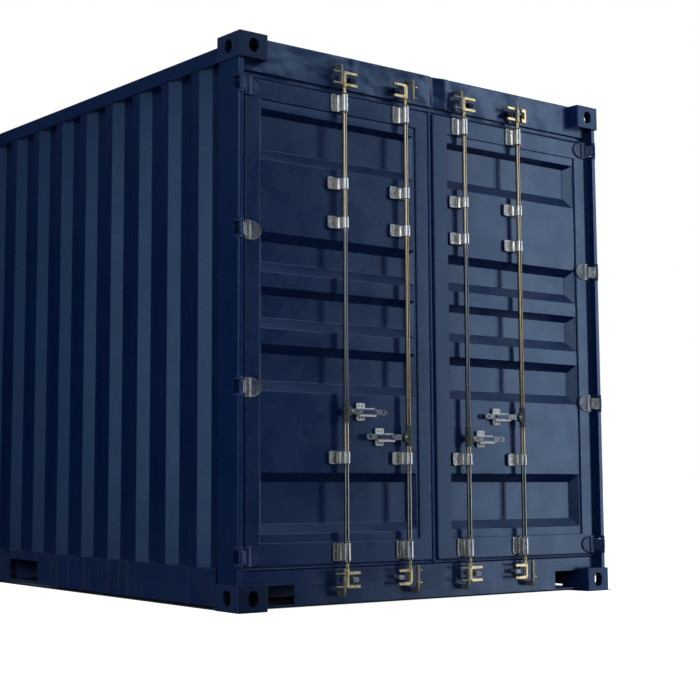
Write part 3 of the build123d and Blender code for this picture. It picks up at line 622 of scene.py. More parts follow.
for node in ("corner_castings_top", "corner_castings_bottom"):
    finish_cad(node, "paint_cast", 1.8, 3)
finish_cad("corner_posts_door", "paint_frame", 3.0)
finish_cad("corner_posts_front", "paint_frame", 2.0)
finish_cad("hinge_lugs", "paint_frame", 2.0)
finish_cad("hinge_pins", "zinc", 1.5)
finish_cad("top_side_rails", "paint_frame", 5.0, 3)
finish_cad("door_sill", "paint_sill", 4.0, 3)
finish_cad("front_top_rail", "paint_frame", 4.0, 3)
finish_cad("front_bottom_rail", "paint_rail", 4.0, 3)
finish_cad("roof_panel", "paint_wall", 3.0, 2)
finish_cad("floor_boards", "plywood", 1.0)
finish_cad("cross_members", "paint_rail", 1.0)
finish_cad("forklift_pocket_tops", "paint_rail", 1.0)
finish_cad("forklift_pocket_sides", "paint_rail", 1.0)
finish_cad("keeper_blocks", "paint_frame", 3.0, 3)


# ------------------------------------------------------------------ mesh tools
class Build:
    """Collects the solids of one piece. Points are (x, b, z) in millimetres."""

    def __init__(self):
        self.bm = bmesh.new()

    def vert(self, x, b, z):
        return self.bm.verts.new(P(x, b, z))

    @staticmethod
    def spot(axis, u, v, w):
        """Axis b: (u, v) is (x, z). Axis z: (x, b). Axis x: (b, z). w lies along the axis."""
        return {"b": (u, w, v), "z": (u, v, w), "x": (w, u, v)}[axis]

    def prism(self, axis, outline, lo, hi, holes=()):
        """An outline with holes, extruded along an axis."""
        loops = [outline] + [list(h) for h in holes]
        low = [[self.vert(*self.spot(axis, u, v, lo)) for u, v in lp] for lp in loops]
        high = [[self.vert(*self.spot(axis, u, v, hi)) for u, v in lp] for lp in loops]
        f = self.bm.faces
        for a, b in zip(low, high):
            n = len(a)
            for k in range(n):
                f.new((a[k], a[(k + 1) % n], b[(k + 1) % n], b[k]))
        if len(loops) == 1:
            f.new(low[0])
            f.new(high[0])
        else:
            flat = [v for lp in loops for v in lp]
            tris = tessellate_polygon([[Vector((u, v, 0)) for u, v in lp] for lp in loops])
            for side in (low, high):
                vs = [v for lp in side for v in lp]
                for t in tris:
                    try:
                        f.new([vs[q] for q in t])
                    except ValueError:
                        pass
            del flat
        return self

    def box(self, x0, x1, b0, b1, z0, z1):
        return self.prism("z", [(x0, b0), (x1, b0), (x1, b1), (x0, b1)], z0, z1)

    def lathe(self, axis, cu, cv, profile, seg=32, ring=False, phase=0.0):
        """profile: (radius, w) points along the axis; ring joins the last to the first."""
        rows = []
        for r, w in profile:
            if r <= 0:
                rows.append([self.vert(*self.spot(axis, cu, cv, w))])
            else:
                rows.append([self.vert(*self.spot(axis, cu + r * math.cos(phase + 2 * math.pi * k / seg),
                                                  cv + r * math.sin(phase + 2 * math.pi * k / seg), w))
                             for k in range(seg)])
        pairs = list(zip(rows, rows[1:]))
        if ring:
            pairs.append((rows[-1], rows[0]))
        for a, b in pairs:
            for k in range(seg):
                q = (k + 1) % seg
                if len(a) == 1 and len(b) == 1:
                    continue
                if len(a) == 1:
                    self.bm.faces.new((a[0], b[k], b[q]))
                elif len(b) == 1:
                    self.bm.faces.new((a[k], a[q], b[0]))
                else:
                    self.bm.faces.new((a[k], a[q], b[q], b[k]))
        if not ring:
            for row in (rows[0], rows[-1]):
                if len(row) > 1:
                    self.bm.faces.new(row)
        return self

    def rod(self, axis, cu, cv, w0, w1, r, chamfer=1.0, seg=28):
        s = 1 if w1 > w0 else -1
        c = min(chamfer, r * 0.9)
        return self.lathe(axis, cu, cv, [(r - c, w0), (r - 0.3 * c, w0 + 0.3 * c * s), (r, w0 + c * s),
                                         (r, w1 - c * s), (r - 0.3 * c, w1 - 0.3 * c * s), (r - c, w1)], seg)

    def dome(self, axis, cu, cv, w, r, h, seg=20, steps=5):
        """A rivet or button head standing h proud of w, towards h's sign."""
        prof = [(r, w)]
        for k in range(1, steps + 1):
            t = math.pi / 2 * k / steps
            prof.append((r * math.cos(t) if k < steps else 0, w + h * math.sin(t)))
        return self.lathe(axis, cu, cv, prof, seg)

    def hexagon(self, axis, cu, cv, w0, w1, flats, phase=0.0):
        """A hex nut or bolt head with chamfered corners, its outer face at w1."""
        r = flats / math.sqrt(3)
        s = 1 if w1 > w0 else -1
        c = 0.16 * flats
        self.lathe(axis, cu, cv, [(r, w0), (r, w1 - s * c * 0.55), (flats / 2 * 0.97, w1)], 6, phase=phase)
        return self

    def weld(self, a, b, r=3.0, seg=8, step=7.0, up=(0, -1, 0), seed=1.0):
        """A weld bead from a to b: a run of overlapping scales."""
        A, B = Vector(a), Vector(b)
        d = B - A
        n = max(3, int(d.length / step))
        t = d.normalized()
        side = t.cross(Vector(up)).normalized()
        out = side.cross(t).normalized()
        rows = []
        m = n * 4
        for k in range(m + 1):
            c = A + d * (k / m)
            ph = (k % 4) / 4.0
            rr = r * (1.0 + 0.16 * math.cos(2 * math.pi * ph) + 0.09 * math.sin(k * 1.7 + seed * 3.1))
            if k in (0, m):
                rr *= 0.45
            rows.append([self.vert(*(c + side * (rr * math.cos(q)) + out * (rr * 0.8 * math.sin(q))))
                         for q in [2 * math.pi * j / seg for j in range(seg)]])
        for p, q in zip(rows, rows[1:]):
            for k in range(seg):
                z = (k + 1) % seg
                self.bm.faces.new((p[k], p[z], q[z], q[k]))
        self.bm.faces.new(rows[0])
        self.bm.faces.new(rows[-1])
        return self


def rrect(u0, u1, v0, v1, r, n=5, corners=(1, 1, 1, 1)):
    """Rounded rectangle; corners: low-left, low-right, high-right, high-left."""
    if u0 > u1:
        u0, u1 = u1, u0
    r = min(r, (u1 - u0) / 2 * 0.999, (v1 - v0) / 2 * 0.999)
    pts = []
    for flag, cu, cv, a0 in ((corners[0], u0 + r, v0 + r, 180), (corners[1], u1 - r, v0 + r, 270),
                             (corners[2], u1 - r, v1 - r, 0), (corners[3], u0 + r, v1 - r, 90)):
        if not flag:
            pts.append((u0 if cu < (u0 + u1) / 2 else u1, v0 if cv < (v0 + v1) / 2 else v1))
            continue
        for k in range(n + 1):
            t = math.radians(a0 + 90.0 * k / n)
            pts.append((cu + r * math.cos(t), cv + r * math.sin(t)))
    return pts


def circle(cu, cv, r, n=20):
    return [(cu + r * math.cos(2 * math.pi * k / n), cv + r * math.sin(2 * math.pi * k / n)) for k in range(n)]


def flip(pts, x0, s):
    """Outline points (s along the handle side, other) to x, for a mirrored side."""
    out = [(x0 + s * u, v) for u, v in pts]
    return out if s > 0 else out[::-1]


def rounded_line(pts, r, n=4):
    """A polyline with its corners turned into arcs of radius r."""
    out = [pts[0]]
    for k in range(1, len(pts) - 1):
        a, c, b = (Vector((*pts[k - 1], 0)), Vector((*pts[k], 0)), Vector((*pts[k + 1], 0)))
        u, v = (a - c), (b - c)
        ang = u.angle(v)
        if abs(ang - math.pi) < 1e-3:
            out.append(pts[k])
            continue
        t = min(r / math.tan(ang / 2), 0.48 * min(u.length, v.length))
        rr = t * math.tan(ang / 2)
        u.normalize()
        v.normalize()
        cen = c + (u + v).normalized() * (rr / math.sin(ang / 2))
        p0, p1 = c + u * t - cen, c + v * t - cen
        for q in range(n + 1):
            w = p0.lerp(p1, q / n)
            w = w.normalized() * rr + cen
            out.append((w.x, w.y))
    out.append(pts[-1])
    return out


def ribbon(line, t):
    """Closed outline of a strip of thickness t along a line, offset to its left."""
    inner = []
    n = len(line)
    for k in range(n):
        a = Vector(line[max(k - 1, 0)])
        b = Vector(line[min(k + 1, n - 1)])
        d = (b - a).normalized()
        inner.append((line[k][0] - d.y * t, line[k][1] + d.x * t))
    return list(line) + inner[::-1]


def piece(name, build, mat, body, replaces=(), bevel=None, segments=2, angle=32.0, solidify=None):
    bm = build.bm
    bmesh.ops.remove_doubles(bm, verts=bm.verts, dist=1e-6)
    bmesh.ops.recalc_face_normals(bm, faces=bm.faces)
    me = bpy.data.meshes.new(name)
    bm.to_mesh(me)
    bm.free()
    o = bpy.data.objects.new(name, me)
    bpy.context.scene.collection.objects.link(o)
    me.materials.append(M[mat])
    me.polygons.foreach_set("use_smooth", [True] * len(me.polygons))
    if solidify:
        m = o.modifiers.new("solidify", "SOLIDIFY")
        m.thickness = solidify / 1000.0
        m.offset = -1.0
        m.use_even_offset = True
    if bevel:
        m = o.modifiers.new("bevel", "BEVEL")
        m.width = bevel / 1000.0
        m.segments = segments
        m.limit_method = "ANGLE"
        m.angle_limit = math.radians(angle)
        m.use_clamp_overlap = True
        m = o.modifiers.new("normals", "WEIGHTED_NORMAL")
        m.keep_sharp = True
        m.weight = 100
    else:
        me.set_sharp_from_angle(angle=math.radians(angle))
        m = o.modifiers.new("normals", "WEIGHTED_NORMAL")
        m.keep_sharp = True
        m.weight = 100
    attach(o, body)
    if replaces:
        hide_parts(*replaces)
    return o


# ------------------------------------------------------------------ sheet metal
XO = 1219.0
SIDE_X, SIDE_DEPTH, RAIL_X = 1211.0, 36.0, 1216.0
# leaf edges and the edges of the recess between its stiles
DOOR = {"left": (-1152.0, -20.0, -1068.0, -101.0), "right": (20.0, 1152.0, 116.0, 1071.0)}
DOOR_B, DOOR_T, DOOR_Z0, DOOR_Z1 = 45.0, 50.0, 192.0, 2394.0
PANEL_Z0, PANEL_Z1 = 296.0, 2303.0
# grooves: outer bottom, deep bottom, deep top, outer top
GROOVES = [(334.0, 378.0, 565.0, 607.0), (972.0, 1020.0, 1143.0, 1183.0), (1255.0, 1306.0, 1410.0, 1443.0),
           (1512.0, 1561.0, 1653.0, 1693.0), (2030.0, 2080.0, 2240.0, 2262.0)]


def frame_loop(x0, x1, z0, z1, r, m=8, n=5):
    """A rounded rectangle with m steps on every straight side, from the low left corner."""
    r = max(0.3, min(r, (x1 - x0) / 2.1, (z1 - z0) / 2.1))
    arcs = []
    for cu, cv, a0 in ((x0 + r, z0 + r, 180), (x1 - r, z0 + r, 270), (x1 - r, z1 - r, 0), (x0 + r, z1 - r, 90)):
        arcs.append([(cu + r * math.cos(math.radians(a0 + 90.0 * k / n)), cv + r * math.sin(math.radians(a0 + 90.0 * k / n)))
                     for k in range(n + 1)])
    pts = []
    for k in range(4):
        pts += arcs[k]
        a, b = arcs[k][-1], arcs[(k + 1) % 4][0]
        pts += [(a[0] + (b[0] - a[0]) * j / m, a[1] + (b[1] - a[1]) * j / m) for j in range(1, m)]
    return pts


def skin(g, loops, closed=False, cap_first=False, cap_last=False):
    """Faces between loops of (x, b, z) points with equal counts."""
    rows = [[g.vert(*p) for p in lp] for lp in loops]
    pairs = list(zip(rows, rows[1:]))
    if closed:
        pairs.append((rows[-1], rows[0]))
    for a, b in pairs:
        n = len(a)
        for k in range(n):
            q = (k + 1) % n
            g.bm.faces.new((a[k], a[q], b[q], b[k]))
    if cap_first:
        g.bm.faces.new(rows[0])
    if cap_last:
        g.bm.faces.new(rows[-1])


def arc_steps(r, n=5):
    """Quarter round: pairs (how far in from the side, how far below the face)."""
    return [(r - r * math.cos(math.radians(90.0 * k / n)), r - r * math.sin(math.radians(90.0 * k / n))) for k in range(n + 1)]


def door_frame_mesh(g, x0, x1, ix0, ix1):
    """Two stiles and two rails of a leaf, pressed round at the outer and inner edges."""
    back = DOOR_B + DOOR_T
    loops = [[(x, back, z) for x, z in frame_loop(x0, x1, DOOR_Z0, DOOR_Z1, 10.0)]]
    for d, e in arc_steps(5.0):
        loops.append([(x, DOOR_B + e, z) for x, z in frame_loop(x0 + d, x1 - d, DOOR_Z0 + d, DOOR_Z1 - d, 10.0)])
    for d, e in reversed(arc_steps(4.5)):
        loops.append([(x, DOOR_B + e, z) for x, z in frame_loop(ix0 - d, ix1 + d, PANEL_Z0 - d, PANEL_Z1 + d, 7.0)])
    loops.append([(x, back, z) for x, z in frame_loop(ix0, ix1, PANEL_Z0, PANEL_Z1, 7.0)])
    skin(g, loops, closed=True)


def fold_profile(depth, r, n=4):
    """Section through one slope of a pressed groove, as (share of the run, depth) with
    rounded folds at both ends."""
    line = rounded_line([(-22.0, 0.0), (0.0, 0.0), (44.0, depth), (66.0, depth)], r, n)
    return [(u / 44.0, v) for u, v in line][1:-1]


def door_panel_mesh(g, ix0, ix1, b):
    """Pressed sheet: five grooves with rounded folds and mitred ends, outer skin only."""
    cells = [PANEL_Z0] + [(GROOVES[k][3] + GROOVES[k + 1][0]) / 2 for k in range(4)] + [PANEL_Z1]
    prof = fold_profile(36.0, 6.0)
    for k, (zo0, zi0, zi1, zo1) in enumerate(GROOVES):
        loops = [[(x, b, z) for x, z in frame_loop(ix0, ix1, cells[k], cells[k + 1], 0.3)]]
        for t, v in prof:
            l0 = ix0 + 6.0 + 30.0 * t
            r0 = ix1 - 12.0 - 40.0 * t
            loops.append([(x, b + v, z) for x, z in frame_loop(l0, r0, zo0 + (zi0 - zo0) * t, zo1 - (zo1 - zi1) * t, 5.0)])
        skin(g, loops, cap_last=True)


def seal_mesh(g, x0, x1, w_left, w_right):
    """Extruded seal round a leaf: a foot on the leaf's edge and a raised outer lip."""
    prof = [(0.4, 61.0), (0.4, 57.5), (4.6, 57.0), (6.2, 52.4), (8.0, 50.2), (10.4, 50.0), (12.2, 51.4), (13.0, 54.0), (13.0, 61.0)]
    loops = []
    for u, b in prof:
        k = u / 13.0
        lp = frame_loop(x0 - w_left * k, x1 + w_right * k, DOOR_Z0 - 15.5 * k, DOOR_Z1 + 13.0 * k, 2.0 + 8.0 * k, m=40)
        out = []
        for x, z in lp:
            if z > DOOR_Z1 - 4.0 and k > 0.4:
                z += 0.7 * math.sin(x / 61.0) + 0.5 * math.sin(x / 23.0 + 1.0) - 0.5
            out.append((x, b, z))
        loops.append(out)
    skin(g, loops, closed=True)


for w, sgn in (("left", -1), ("right", 1)):
    x0, x1, ix0, ix1 = DOOR[w]
    g = Build()
    door_frame_mesh(g, x0, x1, ix0, ix1)
    piece(f"door_frame_pressing_{w}", g, "paint_door", f"door_{w}", [f"door_{w}_frame"], angle=50.0)
    g = Build()
    door_panel_mesh(g, ix0, ix1, 52.0)
    piece(f"door_panel_sheet_{w}", g, "paint_door", f"door_{w}", [f"door_{w}_panel"], angle=50.0, solidify=2.0)
    g = Build()
    seal_mesh(g, x0, x1, *((13.0, 5.0) if w == "left" else (28.5, 13.0)))
    piece(f"door_seal_{w}", g, "paint_seal", f"door_{w}", [f"door_{w}_gasket"], angle=50.0)


def refine(line, step):
    """Straight stretches of a line cut into steps."""
    out = [line[0]]
    for a, b in zip(line, line[1:]):
        n = max(1, int(math.hypot(b[0] - a[0], b[1] - a[1]) / step))
        out += [(a[0] + (b[0] - a[0]) * k / n, a[1] + (b[1] - a[1]) * k / n) for k in range(1, n + 1)]
    return out


def ease(v, a, b):
    t = min(1.0, max(0.0, (v - a) / (b - a)))
    return t * t * (3 - 2 * t)


def header_form(x, z):
    """Dents of the header face: how far it stands back from true."""
    # upright crease in the middle: a narrow flank, a broad one, a ridge that fans out upwards
    d = 10.0 * ease(x, 6.0, 34.0) - 14.0 * min(1.0, max(0.0, (x - 34.0) / 75.0))
    fan = 148.0 + 30.0 * ease(z, 2460.0, 2510.0) - 34.0 * ease(z, 2525.0, 2590.0)
    d += 4.0 * ease(x, 109.0, fan)
    # shallow dent over the first bar
    if z > 2440:
        k = ease(z, 2455.0, 2520.0)
        d -= 1.5 * k * ease(x, -520.0, -512.0) * (1.0 - ease(x, -508.0, -455.0))
    d += 0.45 * math.sin(x / 58.0 + 0.8) + 0.35 * math.sin(x / 91.0 + z / 70.0)
    return d


def header_part(g, line, x0, x1, step):
    out = ribbon(line, 4.0)
    n = max(2, int((x1 - x0) / step))
    loops = []
    for k in range(n + 1):
        x = x0 + (x1 - x0) * k / n
        fade = ease(1050.0 - abs(x), 0.0, 60.0)
        loops.append([(x, b + (header_form(x, z) * fade if b < 60.0 else 0.0), z) for b, z in out])
    skin(g, loops, cap_first=True, cap_last=True)


g = Build()
full = rounded_line([(178.0, 2547.0), (178.0, 2589.0), (52.0, 2589.0), (52.0, 2426.0), (66.0, 2426.0), (66.0, 2404.0),
                     (165.0, 2404.0), (165.0, 2434.0)], 5.0, 4)
low = rounded_line([(52.0, 2473.0), (52.0, 2426.0), (66.0, 2426.0), (66.0, 2404.0), (165.0, 2404.0), (165.0, 2434.0)], 5.0, 4)
header_part(g, refine(full, 24.0), -1057.0, 1057.0, 9.0)
header_part(g, low, -1170.0, -1057.0, 40.0)
header_part(g, low, 1057.0, 1170.0, 40.0)
piece("door_header_pressing", g, "paint_header", "container", ["door_header"], angle=50.0)


def wall_line(sg):
    pts = [(sg * (SIDE_X - SIDE_DEPTH), 165.0)]
    for k in range(22):
        b = 267.0 + k * 254.1
        pts += [(sg * (SIDE_X - SIDE_DEPTH), b), (sg * SIDE_X, b + 61.0), (sg * SIDE_X, b + 125.0),
                (sg * (SIDE_X - SIDE_DEPTH), b + 186.0)]
    return pts + [(sg * (SIDE_X - SIDE_DEPTH), 5898.0)]


for w, sg in (("left", -1), ("right", 1)):
    g = Build()
    g.prism("z", ribbon(rounded_line(wall_line(sg), 9.0, 4), 2.0 * sg), 179.0, 2475.0)
    # weld runs where the sheet meets the rails
    piece(f"side_wall_sheet_{w}", g, "paint_wall", "container", [f"side_wall_{w}"], angle=50.0)
    g = Build()
    line = wall_line(sg)
    for z in (182.0, 2472.0):
        for (xa, ba), (xb, bb) in zip(line, line[1:]):
            g.weld((xa - sg * -1.0, ba, z), (xb - sg * -1.0, bb, z), 2.4, seg=5, step=18.0, seed=ba)
    piece(f"side_wall_weld_{w}", g, "paint_rail", "container")

pts = [(-1199.0, 5993.0)]
for k in range(9):
    x = -1071.5 + k * 250.0
    pts += [(x, 5993.0), (x + 18.0, 6038.0), (x + 125.0, 6038.0), (x + 143.0, 5993.0)]
pts.append((1199.0, 5993.0))
g = Build()
g.prism("z", ribbon(rounded_line(pts, 7.0, 4), -2.0), 158.0, 2475.0)
piece("front_wall_sheet", g, "paint_wall", "container", ["front_wall"], angle=50.0)

# bottom side rails: one pressing a side with the fork pockets cut through
for w, sg in (("left", -1), ("right", 1)):
    g = Build()
    holes = [rrect(yc + 3029.0 - 155.0, yc + 3029.0 + 155.0, 27.0, 137.0, 4.0) for yc in (-1089.0, 1089.0)]
    a, b = sorted((sg * RAIL_X, sg * (RAIL_X - 5.0)))
    outer = refine([(178.0, 17.0), (5880.0, 17.0), (5880.0, 181.0), (178.0, 181.0)], 400.0)
    g.prism("x", outer, a, b, holes=holes)
    a, b = sorted((sg * (RAIL_X - 2.0), sg * (RAIL_X - 48.0)))
    g.prism("b", rrect(a, b, 176.2, 180.8, 1.5), 178.2, 5879.8)
    for lo, hi in ((178.2, 1785.0), (2095.0, 3963.0), (4273.0, 5879.8)):
        g.prism("b", rrect(a, b, 17.2, 22.0, 1.5), lo, hi)
    for lo, hi in ((1785.0, 2095.0), (3963.0, 4273.0)):
        g.prism("b", rrect(a, b, 17.2, 26.8, 1.5), lo, hi)
    piece(f"bottom_rail_pressing_{w}", g, "paint_rail", "container",
          ["bottom_side_rails", "pocket_rail_lintels", "pocket_straps"] if w == "left" else (), bevel=2.0, segments=3, angle=40.0)

# ------------------------------------------------------------------ locking gear
BARS = [(-585.0, 1, 893.0, "left"), (-192.0, -1, 777.0, "left"),
        (212.0, 1, 779.0, "right"), (602.0, -1, 893.0, "right")]
BAR_B, BAR_R = 19.0, 12.0
GUIDE_Z = [(205.0, 289.0), (648.0, 707.0), (1748.0, 1805.0), (1934.0, 1991.0), (2309.0, 2393.0)]
CAM_TOP, CAM_BOT = (2434.0, 2505.0), (82.0, 157.0)


def guide(g, st, x, z0, z1, tall):
    """Pressed plate with a rim, a folded strap round the bar and rivets."""
    left = x - (64.0 if tall else 87.0)
    # base plate, its corners round, with a raised rim on three sides
    g.prism("b", rrect(left, x + 30.0, z0, z1, 9.0), 41.5, 45.0)
    rim = rrect(left, x - 30.0, z0, z1, 9.0, corners=(1, 0, 0, 1))
    cut = rrect(left + 5.0, x - 29.9, z0 + 5.0, z1 - 5.0, 6.0, corners=(1, 0, 0, 1))
    g.prism("b", rim, 38.6, 42.0, holes=[[(min(u, x - 32.0), v) for u, v in cut]])
    # pressed ridge beside the strap
    g.prism("z", [(x - 39.0, 42.0), (x - 36.5, 37.6), (x - 33.0, 36.4), (x - 29.5, 37.6), (x - 27.5, 42.0)],
            z0 + 1.0, z1 - 1.0)
    # strap: from the plate, round the bar, back to the plate
    ri, ro = 13.6, 18.2
    line = [(x - 30.0, 38.8), (x - 23.0, 38.4), (x - ro, 34.0)]
    arc = [(x + ro * math.cos(math.radians(a)), BAR_B + ro * math.sin(math.radians(a)))
           for a in range(180, 361, 12)]
    outer = line + arc + [(x + ro, 34.0), (x + 23.0, 38.4), (x + 30.0, 38.8), (x + 30.0, 42.0)]
    inner_arc = [(x + ri * math.cos(math.radians(a)), BAR_B + ri * math.sin(math.radians(a)))
                 for a in range(360, 179, -12)]
    inner = [(x + ri, 42.0)] + inner_arc + [(x - ri, 42.0), (x - 30.0, 42.0)]
    st.prism("z", outer + inner, z0 + 2.0, z1 - 2.0)
    # rivets
    zs = (z0 + 15.0, (z0 + z1) / 2 + 4.0, z1 - 14.0) if tall else (z0 + 14.0, z1 - 14.0)
    for k, z in enumerate(zs):
        g.dome("b", left + (13.0 if k != 1 else 16.0), z, 41.8, 4.6, -3.2)
    if not tall:
        g.dome("b", left + 30.0, (z0 + z1) / 2, 41.8, 4.2, -2.8)


def collars(g, x, z0, z1):
    """Short bearing rings on the bar at both ends of a guide."""
    for za, zb in ((z0 - 7.0, z0 + 1.0), (z1 - 1.0, z1 + 7.0)):
        g.lathe("z", x, BAR_B, [(12.4, za), (14.6, za + 1.0), (15.2, za + 3.0), (15.2, zb - 3.0), (14.6, zb - 1.0),
                                (12.4, zb)], 28, ring=True)


for w in ("left", "right"):
    g, st = Build(), Build()
    welds = Build()
    for x, s, zh, side in BARS:
        if side != w:
            continue
        for k, (z0, z1) in enumerate(GUIDE_Z):
            tall = k in (0, 4)
            guide(g, st, x, z0, z1, tall)
            left = x - (64.0 if tall else 87.0)
            welds.weld((left + 8.0, 44.5, z0 - 1.0), (x - 34.0, 44.5, z0 - 1.0), 2.6, seed=x + k)
            welds.weld((left + 8.0, 44.5, z1 + 1.0), (x - 34.0, 44.5, z1 + 1.0), 2.6, seed=x - k)
    piece(f"bar_guide_plates_{w}", g, "zinc", f"door_{w}", [f"bar_guides_{w}"], bevel=0.9)
    piece(f"bar_guide_straps_{w}", st, "strap", f"door_{w}", bevel=1.2)
    piece(f"bar_guide_welds_{w}", welds, "paint_door", f"door_{w}")


def fork(g, x, s, za, zb, up):
    """Cam of one bar end: neck with a collar, thin web, two prongs with filleted roots and
    a broad round shoulder away from the bar."""
    tip, root, ht, hp, web, r = 76.0, 26.0, 13.0, 14.5, 3.0, 6.0
    pts = [(-10.0, za + 3.0), (-7.0, za), (root, za), (tip, za + 0.4), (tip, za + ht)]
    m0, m1 = za + hp, zb - hp
    for a in range(0, 91, 15):
        t = math.radians(a)
        pts.append((web + r - r * math.sin(t), m0 + r - r * math.cos(t)))
    for a in range(0, 91, 15):
        t = math.radians(a)
        pts.append((web + r - r * math.cos(t), m1 - r + r * math.sin(t)))
    pts += [(tip, zb - ht), (tip, zb - 0.4)]
    R = 17.0
    for a in range(0, 91, 10):
        t = math.radians(a)
        pts.append((-10.0 + R - R * math.sin(t), zb - R + R * math.cos(t)))
    if not up:
        pts = [(u, za + zb - z) for u, z in reversed(pts)]
    g.prism("b", flip(pts, x, s), 10.0, 24.0)
    # bearing boss on the web, and the neck
    g.lathe("z", x, BAR_B, [(7.0, za + 2.0), (9.6, za + 4.0), (9.6, zb - 4.0), (7.0, zb - 2.0)], 28)
    if up:
        g.lathe("z", x, BAR_B, [(8.5, 2396.0), (8.5, za - 8.0), (9.4, za - 7.0), (11.4, za - 5.0), (11.4, za + 2.0),
                                (9.0, za + 5.0)], 28)
    else:
        g.lathe("z", x, BAR_B, [(8.5, 202.0), (8.5, zb + 8.0), (9.4, zb + 7.0), (11.4, zb + 5.0), (11.4, zb - 2.0),
                                (9.0, zb - 5.0)], 28)


def keeper(g, gd, x, s, z0, z1, up, foot_b):
    """Keeper beside a cam: upright blade with a tapered end, a foot and two stub arms."""
    lo, hi, depth = (-30.0, -20.0, 20.0) if s > 0 else (38.0, 50.0, 18.0)
    if up:
        a, b = z0 - 2.0, z1 + 32.0
        prof = [(2.0, a + 3.0), (5.0, a), (depth - 3.0, a), (depth, a + 4.0), (depth, b - 27.0), (foot_b, b - 22.0),
                (foot_b, b), (10.0, b), (2.0, b - 10.0)]
    else:
        a, b = z0 - 37.0, z1 + 17.0
        prof = [(2.0, b - 4.0), (6.0, b), (depth - 3.0, b), (depth, b - 4.0), (depth, a + 27.0), (foot_b, a + 22.0),
                (foot_b, a), (12.0, a), (7.0, a + 3.0), (2.0, a + 26.0)]
    prof = rounded_line([prof[-1]] + prof + [prof[0]], 4.0)[1:-1]
    gd.prism("x", prof, x + lo, x + hi)
    for z, dull in ((z0 + 8.0, up or s > 0), (z1 - 8.0, not up or s > 0)):
        a, b = (x + lo + 0.5, x - 76.0) if s > 0 else (x + hi - 0.5, x + 70.0)
        t = 1 if b > a else -1
        (gd if dull else g).lathe("x", 10.0, z, [(5.0, a), (5.0, b - t * 15.0), (6.6, b - t * 13.0), (7.0, b - t * 8.0),
                                                 (6.4, b - t * 2.5), (4.0, b - t * 0.6), (0, b)], 24)
        (gd if dull else g).lathe("x", 10.0, z, [(7.4, a), (7.4, a + t * 3.0), (5.5, a + t * 5.0)], 24)


def bracket(g, x, z0, z1, foot_b):
    """Keeper beside the last upper cam: two jaws on an upright."""
    pts = [(62.0, z0 + 4.0), (58.0, z0), (34.0, z0), (30.0, z0 + 4.0), (30.0, z0 + 18.0), (46.0, z0 + 18.0), (49.0, z0 + 22.0),
           (49.0, z1 - 22.0), (46.0, z1 - 18.0), (30.0, z1 - 18.0), (30.0, z1 - 4.0), (34.0, z1), (58.0, z1), (62.0, z1 - 4.0)]
    g.prism("b", [(x + u, z) for u, z in reversed(pts)], 10.0, 24.0)
    zc = (z0 + z1) / 2
    g.prism("b", rrect(x + 48.0, x + 61.5, zc - 12.0, zc + 12.0, 3.0), 22.0, foot_b)


tops, tops_dark, bots, bots_dark = Build(), Build(), Build(), Build()
for k, (x, s, zh, w) in enumerate(BARS, 1):
    g = Build()
    fork(g, x, s, *CAM_TOP, True)
    fork(g, x, s, *CAM_BOT, False)
    piece(f"bar_cam_forks_{k}", g, "yellow", f"lock_bar_{k}", [f"bar_cams_{k}"], bevel=2.2, segments=3)
    if k == 4:
        blade = Build()
        blade.prism("b", rrect(x - 15.0, x - 5.0, CAM_TOP[0] - 2.0, CAM_TOP[1] + 30.0, 3.5), 2.0, 10.5)
        blade.prism("b", rrect(x - 12.0, x + 5.0, CAM_TOP[0] + 20.0, CAM_TOP[1] - 20.0, 3.0), 8.0, 12.0)
        piece("bar_cam_blade_4", blade, "keeper", "lock_bar_4", bevel=1.6, segments=3)
        bracket(tops, x, *CAM_TOP, 52.0)
    else:
        keeper(tops, tops_dark, x, s, *CAM_TOP, True, 52.0)
    keeper(bots, bots_dark, x, s, *CAM_BOT, False, 55.0)
piece("cam_keeper_pins_top", tops, "yellow", "container", bevel=0.8)
piece("cam_keeper_blades_top", tops_dark, "keeper", "container", ["cam_keepers_top"], bevel=1.6, segments=3)
piece("cam_keeper_pins_bottom", bots, "yellow", "container", bevel=0.8)
piece("cam_keeper_blades_bottom", bots_dark, "keeper", "container", ["cam_keepers_bottom"], bevel=1.6, segments=3)

# bosses between the prongs, welded to header and sill, with a hex bolt beside them
bosses, bosses_low, nuts, boss_welds = Build(), Build(), Build(), Build()
for x, s, zh, w in BARS:
    for (z0, z1), back, up in ((CAM_TOP, 52.0, True), (CAM_BOT, 55.0, False)):
        zc = (z0 + z1) / 2
        body = rrect(36.0, 72.0, zc - 11.0, zc + 11.0, 10.5, corners=(0, 1, 1, 0))
        bg = bosses if up else bosses_low
        bg.prism("b", flip(body, x, s), 16.0, back + 0.5)
        bg.prism("b", flip(rrect(40.0, 66.0, zc - 7.0, zc + 7.0, 6.5, corners=(0, 1, 1, 0)), x, s), 14.5, 16.5)
        for dz in (-12.0, 12.0):
            boss_welds.weld((x + s * 38.0, back - 1.0, zc + dz), (x + s * 66.0, back - 1.0, zc + dz), 2.6, seed=x + dz)
        nuts.lathe("b", x + s * 21.0, zc, [(6.2, 31.0), (6.2, back + 0.5)], 20)
        nuts.hexagon("b", x + s * 21.0, zc, 38.0, 29.0, 11.0, phase=0.3)
piece("keeper_bosses_top", bosses, "paint_boss", "container", ["keeper_blocks"], bevel=2.0, segments=3)
piece("keeper_bosses_bottom", bosses_low, "boss_worn", "container", bevel=2.0, segments=3)
piece("keeper_boss_bolts", nuts, "zinc", "container", bevel=0.6)
piece("keeper_boss_welds", boss_welds, "paint_frame", "container")

